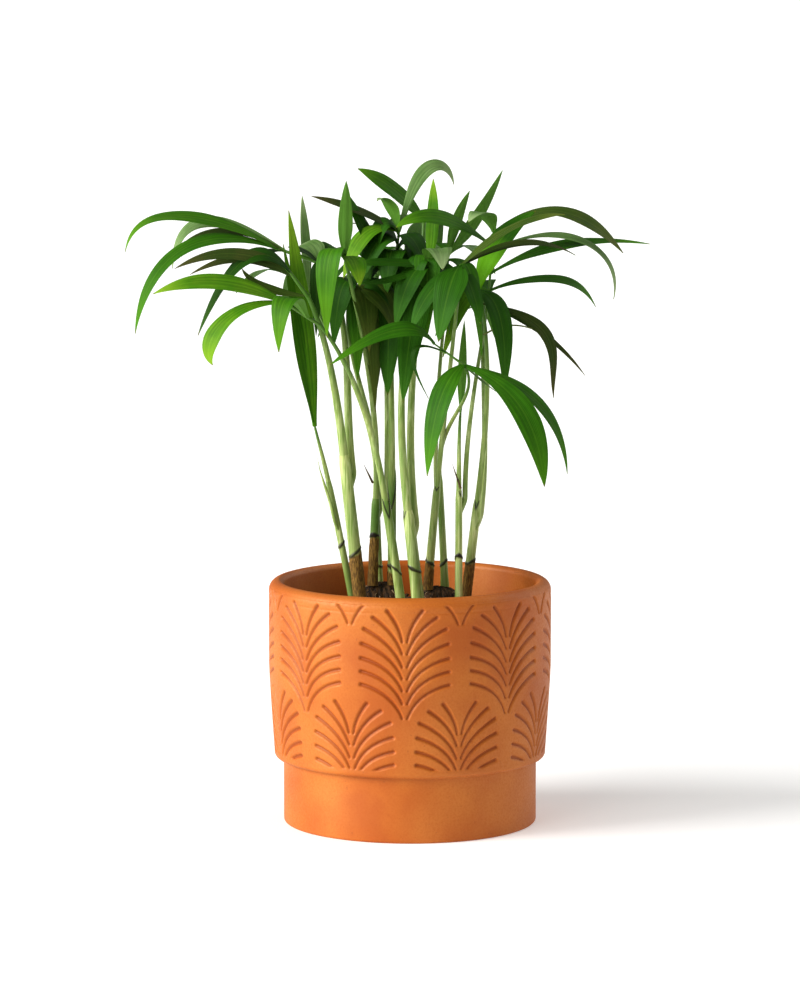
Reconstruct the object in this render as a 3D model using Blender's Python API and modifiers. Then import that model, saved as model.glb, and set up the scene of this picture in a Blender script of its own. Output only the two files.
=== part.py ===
"""A young cat palm clump in a carved terracotta pot, built piece by piece at its real size.

Sizes below are in millimetres, and MM turns them into Blender's metres. The origin is the middle of the
pot's flat underside, +Z is up, +X is to the right and -Y faces the viewer. A heading is a compass angle in
plan: 0 points along +X, 90 along +Y, away from the viewer, and 270 straight at the viewer.
"""

import math
from collections import namedtuple

import bmesh
import bpy
import numpy as np

MM = 0.001

# The pot: a thick-walled cylinder with a wide collar over a narrower foot.
POT_HEIGHT = 108
FOOT_HEIGHT = 29
FOOT_RADIUS = 56
COLLAR_LOW_RADIUS = 60
COLLAR_RADIUS = 62.4
COLLAR_FULL_HEIGHT = 70
LIP_OUTER_ROUND = 4.5
LIP_INNER_ROUND = 2.6
MOUTH_RADIUS = 55.8
FLOOR_THICKNESS = 7
WELL_RADIUS = 49.4
POT_SEGMENTS = 48

# The carving: fans of curved grooves round the collar, in two rows that are half a fan apart.
FANS_ROUND = 8
FAN_TURN = -2.1
FAN_FOOT = 56
ROW_STEP = 40.8
GROOVE_DEPTH = 0.9
GROOVE_INNER_WIDTH = 0.9
GROOVE_OUTER_WIDTH = 1.75
GROOVE_SPANS = 2
Groove = namedtuple("Groove", "root pull end")
# Right-hand grooves of one fan, as (across, up) from the fan's foot: where each starts by the midline, the
# point that its curve is pulled towards, and its outer end. The left-hand ones mirror them.
FAN_GROOVES = [
    Groove((1.1, 33.5), (2.2, 40.5), (7.6, 46.9)),
    Groove((1.1, 28.3), (4.4, 38.0), (13.8, 43.9)),
    Groove((1.1, 22.6), (4.9, 33.0), (17.9, 38.8)),
    Groove((1.1, 17.4), (5.2, 28.3), (18.9, 32.3)),
    Groove((1.1, 12.2), (5.4, 23.0), (19.2, 26.0)),
    Groove((1.1, 6.5), (5.4, 17.6), (19.2, 20.2)),
    Groove((1.1, 0.0), (5.4, 11.6), (19.3, 14.5)),
]
# The solid carries every other groove of each row, which keeps its faces few.
CUT_GROOVES = ((1, 3, 5), (1, 3))

# The soil: a low dome that fills the pot, flat where the stems stand on it.
SOIL_EDGE = 87
SOIL_TOP = 95
SOIL_PLATEAU = 37
SOIL_CLEAR = 0.5

# Pieces that meet keep this gap, because a mesh that is cut by its neighbour still overlaps it a little.
GAP = 0.3

STEM_SIDES_RESOLUTION = 2
PETIOLE_SIDES_RESOLUTION = 1
PETIOLE_POINTS = 6
LEAF_SPANS = 5
BACK_LEAF_SPANS = 4
LEAF_FOLD = 0.16
LEAF_END_SHARE = 0.09
LEAST_LEAF_THICKNESS = 0.45

Stem = namedtuple("Stem", "foot top foot_width top_width")
Crown = namedtuple("Crown", "middle width height")
Leaf = namedtuple("Leaf", "at heading arch tip width roll widest bend")
Frond = namedtuple("Frond", "stem joins side head rachis leaves")


def leaf(at, heading, arch, tip, width=10, roll=0, widest=0.42, bend=(0, 0)):
    """One leaflet. at is its place along the rachis, from 0 to 1, arch and tip are the (out, up) of its
    halfway point and its tip from its base, and roll turns its upper face about its own length. bend moves
    the point at three quarters of its length by that (out, up)."""
    return Leaf(at, heading, arch, tip, width, roll, widest, bend)


# Lumps of old seed and root that stand out of the soil, with stems rising from their flat tops.
ROOT_CROWNS = {
    "root_crown_left": Crown(middle=(-13, 10), width=21, height=10),
    "root_crown_right": Crown(middle=(13, 7), width=20, height=8.5),
}

# Stems: the foot is where one leaves the soil or a root crown, and the top is where its petioles part.
STEMS = {
    "stem_01": Stem(foot=(-25, 3), top=(-36, 2, 151), foot_width=3.2, top_width=2.8),
    "stem_02": Stem(foot=(-21.5, -8), top=(-29, -8, 164), foot_width=5.8, top_width=5.0),
    "stem_03": Stem(foot=(-16.5, 6.5), top=(-15, 6, 143), foot_width=4.2, top_width=3.8),
    "stem_04": Stem(foot=(-13.5, 15), top=(-15, 17, 150), foot_width=2.8, top_width=2.4),
    "stem_05": Stem(foot=(-8, 8.5), top=(-8, 3, 158), foot_width=3.6, top_width=4.0),
    "stem_06": Stem(foot=(-3.5, -9), top=(-11, -9, 145), foot_width=4.2, top_width=3.8),
    "stem_07": Stem(foot=(4, -12), top=(-1, -11, 140), foot_width=5.8, top_width=4.8),
    "stem_08": Stem(foot=(8, 4), top=(12, 2, 149), foot_width=4.0, top_width=3.2),
    "stem_09": Stem(foot=(15.5, 9), top=(13, 9.5, 153), foot_width=3.4, top_width=2.8),
    "stem_10": Stem(foot=(21.5, -6), top=(21.5, -6, 148), foot_width=3.4, top_width=3.0),
    "stem_11": Stem(foot=(24.5, 3), top=(30, 1, 143), foot_width=4.4, top_width=3.8),
}

# Fronds: a petiole that leaves its stem at the share joins of its height, on the side with that heading,
# and rises to the head, where the rachis (heading, out, up) begins and carries the leaflets.
FRONDS = {
    "frond_01_spear": Frond(
        "stem_01", 1.0, 180, head=(-41.4, -2, 174), rachis=(180, 1, 4),
        leaves=[
            leaf(0.5, 180, arch=(4.8, 46), tip=(11.2, 95), width=9, roll=70),
            leaf(1.0, 195, arch=(6, 37), tip=(13.5, 78.5), width=8, roll=60),
        ]),
    "frond_02_left": Frond(
        "stem_02", 1.0, 180, head=(-44, -14, 233.4), rachis=(180, 8.3, 11.5),
        leaves=[
            leaf(1.0, 176, arch=(20, 5), tip=(40.5, -28), width=11, roll=30),
            leaf(1.0, 178, arch=(25.4, 8), tip=(50.4, 1.3), width=5.5, roll=78, widest=0.3),
            leaf(0.8, 170, arch=(22, 8), tip=(46.5, 0.5), width=4.5, roll=80, widest=0.3),
            leaf(0.1, 178, arch=(19, 4), tip=(28.5, 12), width=4, roll=60),
        ]),
    "frond_03_far_left": Frond(
        "stem_02", 0.9, 60, head=(-40.4, 6, 247.7), rachis=(180, 18, 6),
        leaves=[
            leaf(1.0, 178, arch=(40.5, 14), tip=(67, -1.6), width=10, roll=24, widest=0.5, bend=(1.5, 2)),
            leaf(0.85, 170, arch=(39, 5), tip=(66.5, -33), width=8, roll=20),
            leaf(1.0, 190, arch=(41, 0.5), tip=(63, -36.5), width=11, roll=25, bend=(0.6, 0.6)),
            leaf(0.9, 150, arch=(18, -3), tip=(36, -7), width=9, roll=20),
            leaf(0.8, 160, arch=(38, 12), tip=(54, -9), width=7, roll=50, widest=0.6, bend=(0, 0.6)),
            leaf(0.0, 115, arch=(8, 6.5), tip=(20, 6), width=11, roll=20),
            leaf(0.0, 60, arch=(10, 6), tip=(18, 3), width=10, roll=-20),
            leaf(0.0, 200, arch=(7, 5), tip=(14, 7), width=9, roll=20),
            leaf(0.0, 262, arch=(4, -8), tip=(6, -32), width=6, roll=0),
        ]),
    "frond_04_front_left": Frond(
        "stem_06", 1.0, 180, head=(-39, -24, 222.5), rachis=(180, 16, 10.2),
        leaves=[
            leaf(1.0, 178, arch=(29.4, 8.6), tip=(56.7, 3.3), width=12.5, roll=30),
            leaf(1.0, 190, arch=(24.5, -7), tip=(31, -27), width=9.5, roll=35, widest=0.68, bend=(1.6, -1)),
            leaf(0.35, 243, arch=(20, 9), tip=(26, -13), width=12, roll=0),
        ]),
    "frond_05_front": Frond(
        "stem_03", 1.0, 200, head=(-27.9, -14, 249.3), rachis=(230, 1, 2),
        leaves=[
            leaf(1.0, 235, arch=(11.5, 0), tip=(13, -34), width=10, roll=0),
            leaf(1.0, 300, arch=(9, -1), tip=(13.5, -11.5), width=9, roll=0),
            leaf(1.0, 0, arch=(0.5, 16.5), tip=(0.8, 33.3), width=6.5, roll=80),
        ]),
    "frond_06_middle": Frond(
        "stem_03", 0.92, 60, head=(-25.9, 2, 234.8), rachis=(330, 2, 2),
        leaves=[
            leaf(1.0, 330, arch=(13, -3), tip=(20.5, -16), width=11, roll=-20),
            leaf(1.0, 302, arch=(8, -3), tip=(12, -22), width=10, roll=0),
            leaf(1.0, 348, arch=(12, 0), tip=(22, -12), width=10, roll=-20),
            leaf(1.0, 110, arch=(14, 3), tip=(27, -10), width=10, roll=0),
            leaf(1.0, 225, arch=(8, 0), tip=(13, -20), width=9, roll=20),
            leaf(1.0, 350, arch=(6.5, -16), tip=(9, -48), width=8, roll=-40),
        ]),
    "frond_07_crest": Frond(
        "stem_05", 1.0, 90, head=(-7.5, 8, 239.6), rachis=(0, 2.7, 21.5),
        leaves=[
            leaf(1.0, 180, arch=(18.4, 9.3), tip=(38.5, 15.5), width=9, roll=20),
            leaf(1.0, 172, arch=(13.5, 2.6), tip=(26.5, 4), width=2, roll=0),
            leaf(1.0, 200, arch=(15.4, -1), tip=(26, -20), width=9, roll=30, widest=0.62),
            leaf(0.1, 185, arch=(11.4, 17.7), tip=(20.5, 36.5), width=9, roll=45),
            leaf(1.0, 15, arch=(12.5, 27), tip=(25, 20.2), width=6.5, roll=-60, widest=0.5, bend=(1, 0.6)),
            leaf(1.0, 225, arch=(6.8, 13), tip=(13.6, 14), width=9, roll=0),
            leaf(0.8, 210, arch=(10, 0), tip=(18, -16), width=11, roll=20),
            leaf(0.9, 330, arch=(8, -2), tip=(15, -17), width=11, roll=-10),
            leaf(0.5, 250, arch=(7, 1), tip=(12, -12), width=10, roll=0),
            leaf(0.45, 320, arch=(8, 0), tip=(13, -22), width=11, roll=-20),
            leaf(0.2, 180, arch=(9, 1), tip=(16, -11), width=10, roll=25),
            leaf(0.0, 255, arch=(6, -18), tip=(9, -50), width=8, roll=0),
        ]),
    "frond_08_centre": Frond(
        "stem_07", 1.0, 180, head=(7.4, -4, 245.8), rachis=(0, 1, 1),
        leaves=[
            leaf(1.0, 82, arch=(11, 19.5), tip=(13, 37.5), width=6, roll=10),
            leaf(1.0, 190, arch=(17.3, 1.8), tip=(34.5, 1.3), width=8, roll=25),
            leaf(1.0, 205, arch=(17.4, -5), tip=(33.3, -6.5), width=4, roll=40),
            leaf(1.0, 285, arch=(14, 8.5), tip=(22, 0), width=13, roll=0),
            leaf(1.0, 0, arch=(5.5, 0), tip=(11, -1), width=8, roll=-20),
            leaf(1.0, 222, arch=(11, -5), tip=(20, -26), width=11, roll=10),
            leaf(1.0, 240, arch=(14, -22), tip=(23, -58), width=8, roll=30),
        ]),
    "frond_09_top": Frond(
        "stem_07", 0.88, 60, head=(6.2, 22, 264.2), rachis=(90, 1, 1),
        leaves=[
            leaf(1.0, 190, arch=(14, 13.7), tip=(29.7, 23), width=9, roll=30),
            leaf(1.0, 80, arch=(20, 0), tip=(44, -18), width=10, roll=0),
            leaf(1.0, 120, arch=(22, -1), tip=(46, -17), width=10, roll=0),
            leaf(0.0, 100, arch=(20, -9), tip=(40, -36), width=10, roll=0),
        ]),
    "frond_10_front_right": Frond(
        "stem_08", 1.0, 300, head=(21.7, -18, 246.9), rachis=(270, 1, 1),
        leaves=[
            leaf(1.0, 245, arch=(11, -9), tip=(22.5, -31), width=15, roll=0),
            leaf(1.0, 205, arch=(14.4, -11), tip=(23.5, -27.7), width=9, roll=30),
            leaf(1.0, 300, arch=(10, -9.5), tip=(17.4, -23.7), width=9, roll=0),
            leaf(1.0, 350, arch=(23, 17), tip=(45.8, 23), width=8, roll=-25),
            leaf(1.0, 15, arch=(28, 9.5), tip=(52.4, 3.7), width=7, roll=-20),
        ]),
    "frond_11_right": Frond(
        "stem_11", 1.0, 0, head=(31.5, -4, 230.3), rachis=(180, 2, 5.5),
        leaves=[
            leaf(1.0, 310, arch=(15, -10.5), tip=(18, -44), width=11, roll=-10),
            leaf(1.0, 20, arch=(9.6, 20.7), tip=(27.3, 34.4), width=10, roll=-55),
            leaf(0.0, 345, arch=(29, -13.4), tip=(32.4, -40.6), width=6.5, roll=-35, bend=(-1.8, 0)),
            leaf(0.0, 5, arch=(25.4, -12.2), tip=(45.7, -32.1), width=3, roll=-60),
        ]),
    "frond_12_far_right": Frond(
        "stem_10", 0.95, 30, head=(34.8, 12, 234.5), rachis=(0, 2.2, 26),
        leaves=[
            leaf(0.0, 10, arch=(27.6, 5), tip=(48.3, -7.7), width=8, roll=-25, widest=0.62, bend=(0, 1.6)),
            leaf(0.3, 0, arch=(32.9, 12.6), tip=(70.3, 13), width=9, roll=-22),
            leaf(0.72, 352, arch=(37.5, 4.6), tip=(53.7, -21.8), width=7, roll=-18, widest=0.6,
                 bend=(2, 0.6)),
            leaf(1.0, 356, arch=(29.5, 9), tip=(57, -9), width=10, roll=-26, widest=0.62),
            leaf(1.0, 235, arch=(9, 9), tip=(20, 5.5), width=11, roll=0),
            leaf(0.75, 205, arch=(26, 13.6), tip=(47, 9.9), width=9, roll=25),
            leaf(0.0, 200, arch=(11, -4), tip=(21.6, -28.5), width=9, roll=30),
        ]),
    "frond_13_spear": Frond(
        "stem_10", 1.0, 0, head=(22, -4, 180), rachis=(0, 0.2, 2),
        leaves=[
            leaf(1.0, 0, arch=(0.8, 20), tip=(1.6, 41), width=4, roll=80),
        ]),
    "frond_14_low_front": Frond(
        "stem_09", 1.0, 0, head=(23.8, -32, 205.6), rachis=(180, 13.4, 9.7),
        leaves=[
            leaf(0.05, 225, arch=(14.4, -14.5), tip=(22.4, -46.5), width=12, roll=10),
            leaf(0.0, 325, arch=(29, -16.5), tip=(41.2, -49.6), width=11, roll=-35, widest=0.6),
            leaf(0.0, 350, arch=(32, -15.5), tip=(44.8, -46), width=7, roll=-30),
            leaf(1.0, 190, arch=(17.1, 6), tip=(45.7, -8.5), width=11, roll=28),
            leaf(0.6, 200, arch=(15.2, 1), tip=(8.3, -19.7), width=2.5, roll=30),
            leaf(0.0, 20, arch=(6, -5.3), tip=(14.3, -11.5), width=2.5, roll=-30),
        ]),
    "frond_15_back": Frond(
        "stem_09", 0.85, 120, head=(16.8, 20, 247.7), rachis=(90, 2, 2),
        leaves=[
            leaf(1.0, 0, arch=(3.9, 15), tip=(9.7, 28.5), width=5, roll=75),
            leaf(1.0, 10, arch=(12.8, 16), tip=(24.6, 37.3), width=6, roll=75),
            leaf(1.0, 95, arch=(22, 3), tip=(48, -14), width=10, roll=0),
            leaf(1.0, 65, arch=(25, 2), tip=(52, -12), width=10, roll=0),
            leaf(0.5, 130, arch=(18, -4), tip=(36, -24), width=10, roll=0),
            leaf(0.0, 350, arch=(9, -5), tip=(16, -22), width=9, roll=-20),
        ]),
    "frond_16_back_right": Frond(
        "stem_11", 0.88, 60, head=(33, 24, 226), rachis=(80, 9, 5),
        leaves=[
            leaf(1.0, 92, arch=(24, 4), tip=(50, -15), width=10, roll=0),
            leaf(1.0, 115, arch=(22, 5), tip=(48, -14), width=10, roll=0),
            leaf(0.6, 72, arch=(14, -2), tip=(26, -16), width=9, roll=0),
            leaf(0.5, 128, arch=(18, -1), tip=(36, -18), width=10, roll=0),
            leaf(0.1, 150, arch=(12, -3), tip=(22, -14), width=9, roll=0),
            leaf(0.1, 62, arch=(9, -5), tip=(16, -21), width=9, roll=0),
        ]),
    "frond_17_back_left": Frond(
        "stem_04", 1.0, 90, head=(-43.4, 30, 229.5), rachis=(140, 2, 3),
        leaves=[
            leaf(1.0, 180, arch=(1.5, 23), tip=(3, 43), width=4.5, roll=80),
            leaf(1.0, 137, arch=(23, 9), tip=(46, -3), width=10, roll=0),
            leaf(1.0, 105, arch=(22, 6), tip=(50, -14), width=10, roll=0),
            leaf(0.6, 118, arch=(15, 1), tip=(30, -12), width=9, roll=0),
            leaf(0.4, 96, arch=(17, -4), tip=(33, -24), width=10, roll=0),
            leaf(0.2, 80, arch=(14, -2), tip=(28, -24), width=9, roll=0),
        ]),
    "frond_18_back": Frond(
        "stem_05", 0.85, 120, head=(-15, 26, 240), rachis=(120, 3, 3),
        leaves=[
            leaf(1.0, 120, arch=(24, 8), tip=(52, -12), width=10, roll=0),
            leaf(1.0, 70, arch=(22, 8), tip=(48, -12), width=10, roll=0),
            leaf(1.0, 165, arch=(12, 1), tip=(21, -13), width=10, roll=20),
            leaf(0.0, 330, arch=(12, -2), tip=(20, -22), width=10, roll=0),
            leaf(0.6, 95, arch=(20, 0), tip=(42, -26), width=10, roll=0),
            leaf(0.2, 140, arch=(17, -4), tip=(34, -30), width=9, roll=0),
        ]),
}

# Dry tips of old leaf sheaths that still stand against their stems.
SHEATH_TIPS = {
    "sheath_tip_left": Frond("stem_01", 0.75, 255, head=(-39.8, -0.5, 157), rachis=(180, 1, 5), leaves=[]),
    "sheath_tip_right": Frond("stem_11", 0.85, 295, head=(33.4, -3.6, 165), rachis=(0, 0.8, 7), leaves=[]),
}

TERRACOTTA = "#d07a48"
SOIL_BROWN = "#2e2015"
BARK_BROWN = "#6b4a26"
STEM_GREEN = "#92a64c"
LEAF_GREEN = "#2f6b14"


def colour(hex_code):
    """Linear RGBA of an sRGB hex code."""
    shares = [int(hex_code[i:i + 2], 16) / 255 for i in (1, 3, 5)]
    linear = [s / 12.92 if s <= 0.04045 else ((s + 0.055) / 1.055) ** 2.4 for s in shares]
    return (*linear, 1.0)


def material(name, hex_code, roughness):
    made = bpy.data.materials.new(name)
    made.use_nodes = True
    shader = made.node_tree.nodes["Principled BSDF"]
    shader.inputs["Base Color"].default_value = colour(hex_code)
    shader.inputs["Roughness"].default_value = roughness
    shader.inputs["Metallic"].default_value = 0.0
    made.diffuse_color = colour(hex_code)
    return made


def clear_scene():
    for old in list(bpy.data.objects):
        bpy.data.objects.remove(old)


def collection(name):
    made = bpy.data.collections.new(name)
    bpy.context.scene.collection.children.link(made)
    return made


def unit(vector):
    return vector / np.linalg.norm(vector)


def compass(heading):
    """The level direction with that heading, as an array."""
    angle = math.radians(heading)
    return np.array([math.cos(angle), math.sin(angle), 0.0])


def place(mesh, name, finish, into):
    made = bpy.data.objects.new(name, mesh)
    made.data.materials.clear()
    made.data.materials.append(finish)
    into.objects.link(made)
    return made


def rounded(centre, radius, start, end, steps):
    """Points of an arc, from the angle start to the angle end in degrees."""
    angles = np.radians(np.linspace(start, end, steps))
    return [(centre[0] + radius * math.cos(a), centre[1] + radius * math.sin(a)) for a in angles]


def turned(name, profile, finish, into):
    """A solid of revolution: the (radius, height) profile runs up the inside and down the outside."""
    mesh = bpy.data.meshes.new(name)
    points = [(r * MM, 0.0, h * MM) for r, h in profile]
    mesh.from_pydata(points, [(i, i + 1) for i in range(len(points) - 1)], [])
    made = place(mesh, name, finish, into)
    screw = made.modifiers.new("turn", "SCREW")
    screw.steps = screw.render_steps = POT_SEGMENTS
    screw.use_merge_vertices = True
    screw.merge_threshold = 0.00005
    screw.use_smooth_shade = True
    return made


def collar_radius(height):
    """The collar widens evenly up to its full height and runs straight up from there."""
    return np.interp(height, [FOOT_HEIGHT + 2, COLLAR_FULL_HEIGHT], [COLLAR_LOW_RADIUS, COLLAR_RADIUS])


def groove_bar(groove, foot, bearing, hand):
    """Corners of a three-sided bar that follows a groove, with its keel along the groove's bottom. The groove
    is a parabola from its root to its end, drawn on the collar."""
    root, pull, end = (np.array(point) for point in groove)
    t = np.linspace(0, 1, GROOVE_SPANS + 1)[:, None]
    line = (1 - t) ** 2 * root + 2 * t * (1 - t) * pull + t ** 2 * end
    ahead = 2 * (1 - t) * (pull - root) + 2 * t * (end - pull)
    ahead /= np.linalg.norm(ahead, axis=1)[:, None]
    side = np.stack([-ahead[:, 1], ahead[:, 0]], axis=1)
    proud = 0.6
    width = GROOVE_INNER_WIDTH + (GROOVE_OUTER_WIDTH - GROOVE_INNER_WIDTH) * t
    reach = side * width / 2 * (GROOVE_DEPTH + proud) / GROOVE_DEPTH
    across_up = np.stack([line - reach, line + reach, line], axis=1)
    outward = np.array([proud, proud, -GROOVE_DEPTH])
    height = foot + across_up[:, :, 1]
    radius = collar_radius(foot + line[:, 1:]) + outward
    turn = math.radians(bearing) + hand * across_up[:, :, 0] / COLLAR_RADIUS
    return np.stack([radius * np.cos(turn), radius * np.sin(turn), height], axis=-1).reshape(-1, 3)


def groove_bars(finish, into):
    """One mesh of the bars that cut the grooves, fan by fan round both rows."""
    pitch = 360 / FANS_ROUND
    bars = [groove_bar(FAN_GROOVES[i], FAN_FOOT - row * ROW_STEP, FAN_TURN + (fan + row / 2) * pitch, hand)
            for row in (0, 1) for fan in range(FANS_ROUND) for hand in (-1, 1) for i in CUT_GROOVES[row]]
    first = np.arange(GROOVE_SPANS)[:, None] * 3 + np.arange(3)[None, :]
    following = np.arange(GROOVE_SPANS)[:, None] * 3 + (np.arange(3)[None, :] + 1) % 3
    walls = np.stack([first, following, following + 3, first + 3], axis=-1).reshape(-1, 4).tolist()
    faces = [*walls, [0, 2, 1], [3 * GROOVE_SPANS, 3 * GROOVE_SPANS + 1, 3 * GROOVE_SPANS + 2]]
    per_bar = 3 * (GROOVE_SPANS + 1)
    mesh = bpy.data.meshes.new("groove_bars")
    mesh.from_pydata((np.vstack(bars) * MM).tolist(), [],
                     [[corner + per_bar * i for corner in face] for i in range(len(bars)) for face in faces])
    shape = bmesh.new()
    shape.from_mesh(mesh)
    bmesh.ops.recalc_face_normals(shape, faces=shape.faces)
    shape.to_mesh(mesh)
    shape.free()
    return place(mesh, "groove_bars", finish, into)


def make_pot(finish, into):
    lip = POT_HEIGHT
    inner = rounded((MOUTH_RADIUS + LIP_INNER_ROUND, lip - LIP_INNER_ROUND), LIP_INNER_ROUND, 180, 90, 4)
    outer = rounded((COLLAR_RADIUS - LIP_OUTER_ROUND, lip - LIP_OUTER_ROUND), LIP_OUTER_ROUND, 90, 0, 5)
    profile = [
        (0, FLOOR_THICKNESS),
        (WELL_RADIUS - 3, FLOOR_THICKNESS),
        (WELL_RADIUS, FLOOR_THICKNESS + 3),
        (WELL_RADIUS, FOOT_HEIGHT - 3),
        (MOUTH_RADIUS - 2, FOOT_HEIGHT + 7),
        *inner,
        *outer,
        (COLLAR_RADIUS, COLLAR_FULL_HEIGHT),
        (COLLAR_LOW_RADIUS, FOOT_HEIGHT + 2),
        (COLLAR_LOW_RADIUS - 1.5, FOOT_HEIGHT),
        (FOOT_RADIUS, FOOT_HEIGHT),
        (FOOT_RADIUS, 1.2),
        (FOOT_RADIUS - 1.2, 0),
        (0, 0),
    ]
    pot = turned("pot", profile, finish, into)
    cutter = groove_bars(finish, into)
    bpy.context.view_layer.update()
    pot.data = to_mesh(pot)
    pot.modifiers.clear()
    cut = pot.modifiers.new("carve", "BOOLEAN")
    cut.operation = "DIFFERENCE"
    cut.object = cutter
    cut.solver = "EXACT"
    bpy.context.view_layer.update()
    pot.data = to_mesh(pot)
    pot.modifiers.clear()
    bpy.data.objects.remove(cutter)
    return pot


def make_soil(finish, into):
    clear = SOIL_CLEAR
    profile = [
        (0, SOIL_TOP),
        (SOIL_PLATEAU, SOIL_TOP),
        (MOUTH_RADIUS - 0.7 - clear, SOIL_EDGE),
        (MOUTH_RADIUS - 2 - clear, FOOT_HEIGHT + 7 + clear),
        (WELL_RADIUS - clear, FOOT_HEIGHT - 3 + clear),
        (WELL_RADIUS - clear, FLOOR_THICKNESS + 3 + clear),
        (WELL_RADIUS - 3 - clear, FLOOR_THICKNESS + GAP),
        (0, FLOOR_THICKNESS + GAP),
    ]
    return turned("soil", profile, finish, into)


def make_root_crown(name, crown, finish, into):
    """A knobbly lump: an oval dome, cut flat below at the soil and above where stems stand on it."""
    shape = bmesh.new()
    bmesh.ops.create_uvsphere(shape, u_segments=14, v_segments=9, radius=1)
    top = SOIL_TOP + GAP + crown.height
    for vertex in shape.verts:
        across, deep, high = vertex.co
        bearing = math.atan2(deep, across)
        knobs = 1 + 0.09 * math.sin(3 * bearing + crown.width) + 0.05 * math.sin(5 * bearing)
        height = SOIL_TOP + GAP + crown.height * (0.35 + 1.1 * high)
        height = min(max(height, SOIL_TOP + GAP), top)
        vertex.co = (
            (crown.middle[0] + across * knobs * crown.width / 2) * MM,
            (crown.middle[1] + deep * knobs * crown.width * 0.38) * MM,
            height * MM,
        )
    mesh = bpy.data.meshes.new(name)
    shape.to_mesh(mesh)
    shape.free()
    return place(mesh, name, finish, into)


def foot_height(name, stem):
    """The height of the ground under a stem: the soil, or the flat top of a root crown."""
    for crown in ROOT_CROWNS.values():
        across = (stem.foot[0] - crown.middle[0]) / (crown.width * 0.5)
        deep = (stem.foot[1] - crown.middle[1]) / (crown.width * 0.38)
        if math.hypot(across, deep) < 0.75:
            return SOIL_TOP + GAP + crown.height + GAP
    return SOIL_TOP + GAP


def stem_line(name, stem, count=7):
    """Points along a stem from foot to top: straight but for a slight bow near the foot."""
    foot = np.array([*stem.foot, foot_height(name, stem)], float)
    top = np.array(stem.top, float)
    knee = foot + (top - foot) * 0.4 + np.array([0, 0, 2.0])
    t = np.linspace(0, 1, count)[:, None]
    return (1 - t) ** 2 * foot + 2 * t * (1 - t) * knee + t ** 2 * top


def tube(name, points, widths, resolution, finish, into):
    """A round limb: a curve with a bevel, as thick at each point as widths says."""
    curve = bpy.data.curves.new(name, "CURVE")
    curve.dimensions = "3D"
    curve.bevel_depth = MM / 2
    curve.bevel_resolution = resolution
    curve.use_fill_caps = True
    spline = curve.splines.new("POLY")
    spline.points.add(len(points) - 1)
    for slot, point, width in zip(spline.points, points, widths):
        slot.co = (*(point * MM), 1)
        slot.radius = width
    made = bpy.data.objects.new(name, curve)
    made.data.materials.append(finish)
    into.objects.link(made)
    return made


def make_stem(name, stem, finish, into):
    points = stem_line(name, stem)
    share = np.linspace(0, 1, len(points))
    flare = 0.5 * np.exp(-share * 14)
    widths = stem.foot_width + (stem.top_width - stem.foot_width) * share + flare
    return tube(name, points, widths, STEM_SIDES_RESOLUTION, finish, into)


def petiole_line(frond):
    """Points from the stem to the head of a frond, then along its rachis, and the widths there."""
    stem = STEMS[frond.stem]
    line = stem_line(frond.stem, stem, 21)
    place_on = min(frond.joins, 1.0) * 20
    low = int(min(place_on, 19))
    start = line[low] + (line[low + 1] - line[low]) * (place_on - low)
    along = unit(line[low + 1] - line[low])
    petiole_width = 0.78 * stem.top_width
    if frond.joins >= 1.0:
        start = start + along * (GAP + 0.1)
    else:
        clear = (stem.foot_width + petiole_width) / 2 + GAP
        start = start + compass(frond.side) * clear
    head = np.array(frond.head, float)
    heading, out, up = frond.rachis
    spine = compass(heading) * out + np.array([0, 0, up])
    reach = np.linalg.norm(head - start)
    arrive = unit(unit(head - start) + unit(spine))
    first = start + along * reach * 0.38
    second = head - arrive * reach * 0.28
    t = np.linspace(0, 1, PETIOLE_POINTS)[:, None]
    rise = ((1 - t) ** 3 * start + 3 * t * (1 - t) ** 2 * first
            + 3 * t ** 2 * (1 - t) * second + t ** 3 * head)
    end = head + spine + unit(spine) * 1.2
    widths = np.linspace(petiole_width, 0.5 * petiole_width, PETIOLE_POINTS)
    return np.vstack([rise, head + spine * 0.5, end]), [*widths, 0.42 * petiole_width, 0.36 * petiole_width]


def leaf_outline(t, widest):
    """Half-width of a leaflet as a share of its greatest, at the share t of its length: it swells from a
    narrow base to its widest place and tapers to a point."""
    swell = 0.22 + 0.78 * np.sin(np.clip(t / widest, 0, 1) * math.pi / 2) ** 1.3
    taper = np.cos(np.clip((t - widest) / (1 - widest), 0, 1) * math.pi / 2) ** 0.8
    return np.where(t < widest, swell, np.maximum(taper, LEAF_END_SHARE))


def leaf_frame(base, blade, spans):
    """The midrib's points with the sideways and upward directions of the blade there. The midrib is a
    parabola in the upright plane of the heading, through the base, the arch and the tip. To that comes the
    bend, weighed by a curve that is 1 at three quarters of the length and 0 at the base, halfway and tip."""
    t = np.linspace(0, 1, spans + 1)
    arch, tip, bend = (np.array(pair, float) for pair in (blade.arch, blade.tip, blade.bend))
    pull = 2 * arch - tip / 2
    weight = (3 * t ** 3 - t ** 2 - 2 * t ** 4) * 128 / 9
    lean = (9 * t ** 2 - 2 * t - 8 * t ** 3) * 128 / 9
    out = (2 * t * (1 - t))[:, None] * pull + (t ** 2)[:, None] * tip + weight[:, None] * bend
    slope = (2 * (1 - 2 * t))[:, None] * pull + (2 * t)[:, None] * tip + lean[:, None] * bend
    ahead = compass(blade.heading)
    points = base + out[:, :1] * ahead + out[:, 1:] * np.array([0, 0, 1.0])
    forward = slope[:, :1] * ahead + slope[:, 1:] * np.array([0, 0, 1.0])
    forward /= np.linalg.norm(forward, axis=1)[:, None]
    side = np.cross(ahead, [0, 0, 1.0])
    upper = np.cross(np.broadcast_to(side, forward.shape), forward)
    turn = math.radians(blade.roll)
    across = side * math.cos(turn) + upper * math.sin(turn)
    raised = upper * math.cos(turn) - side * math.sin(turn)
    return t, points, across, raised


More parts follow.
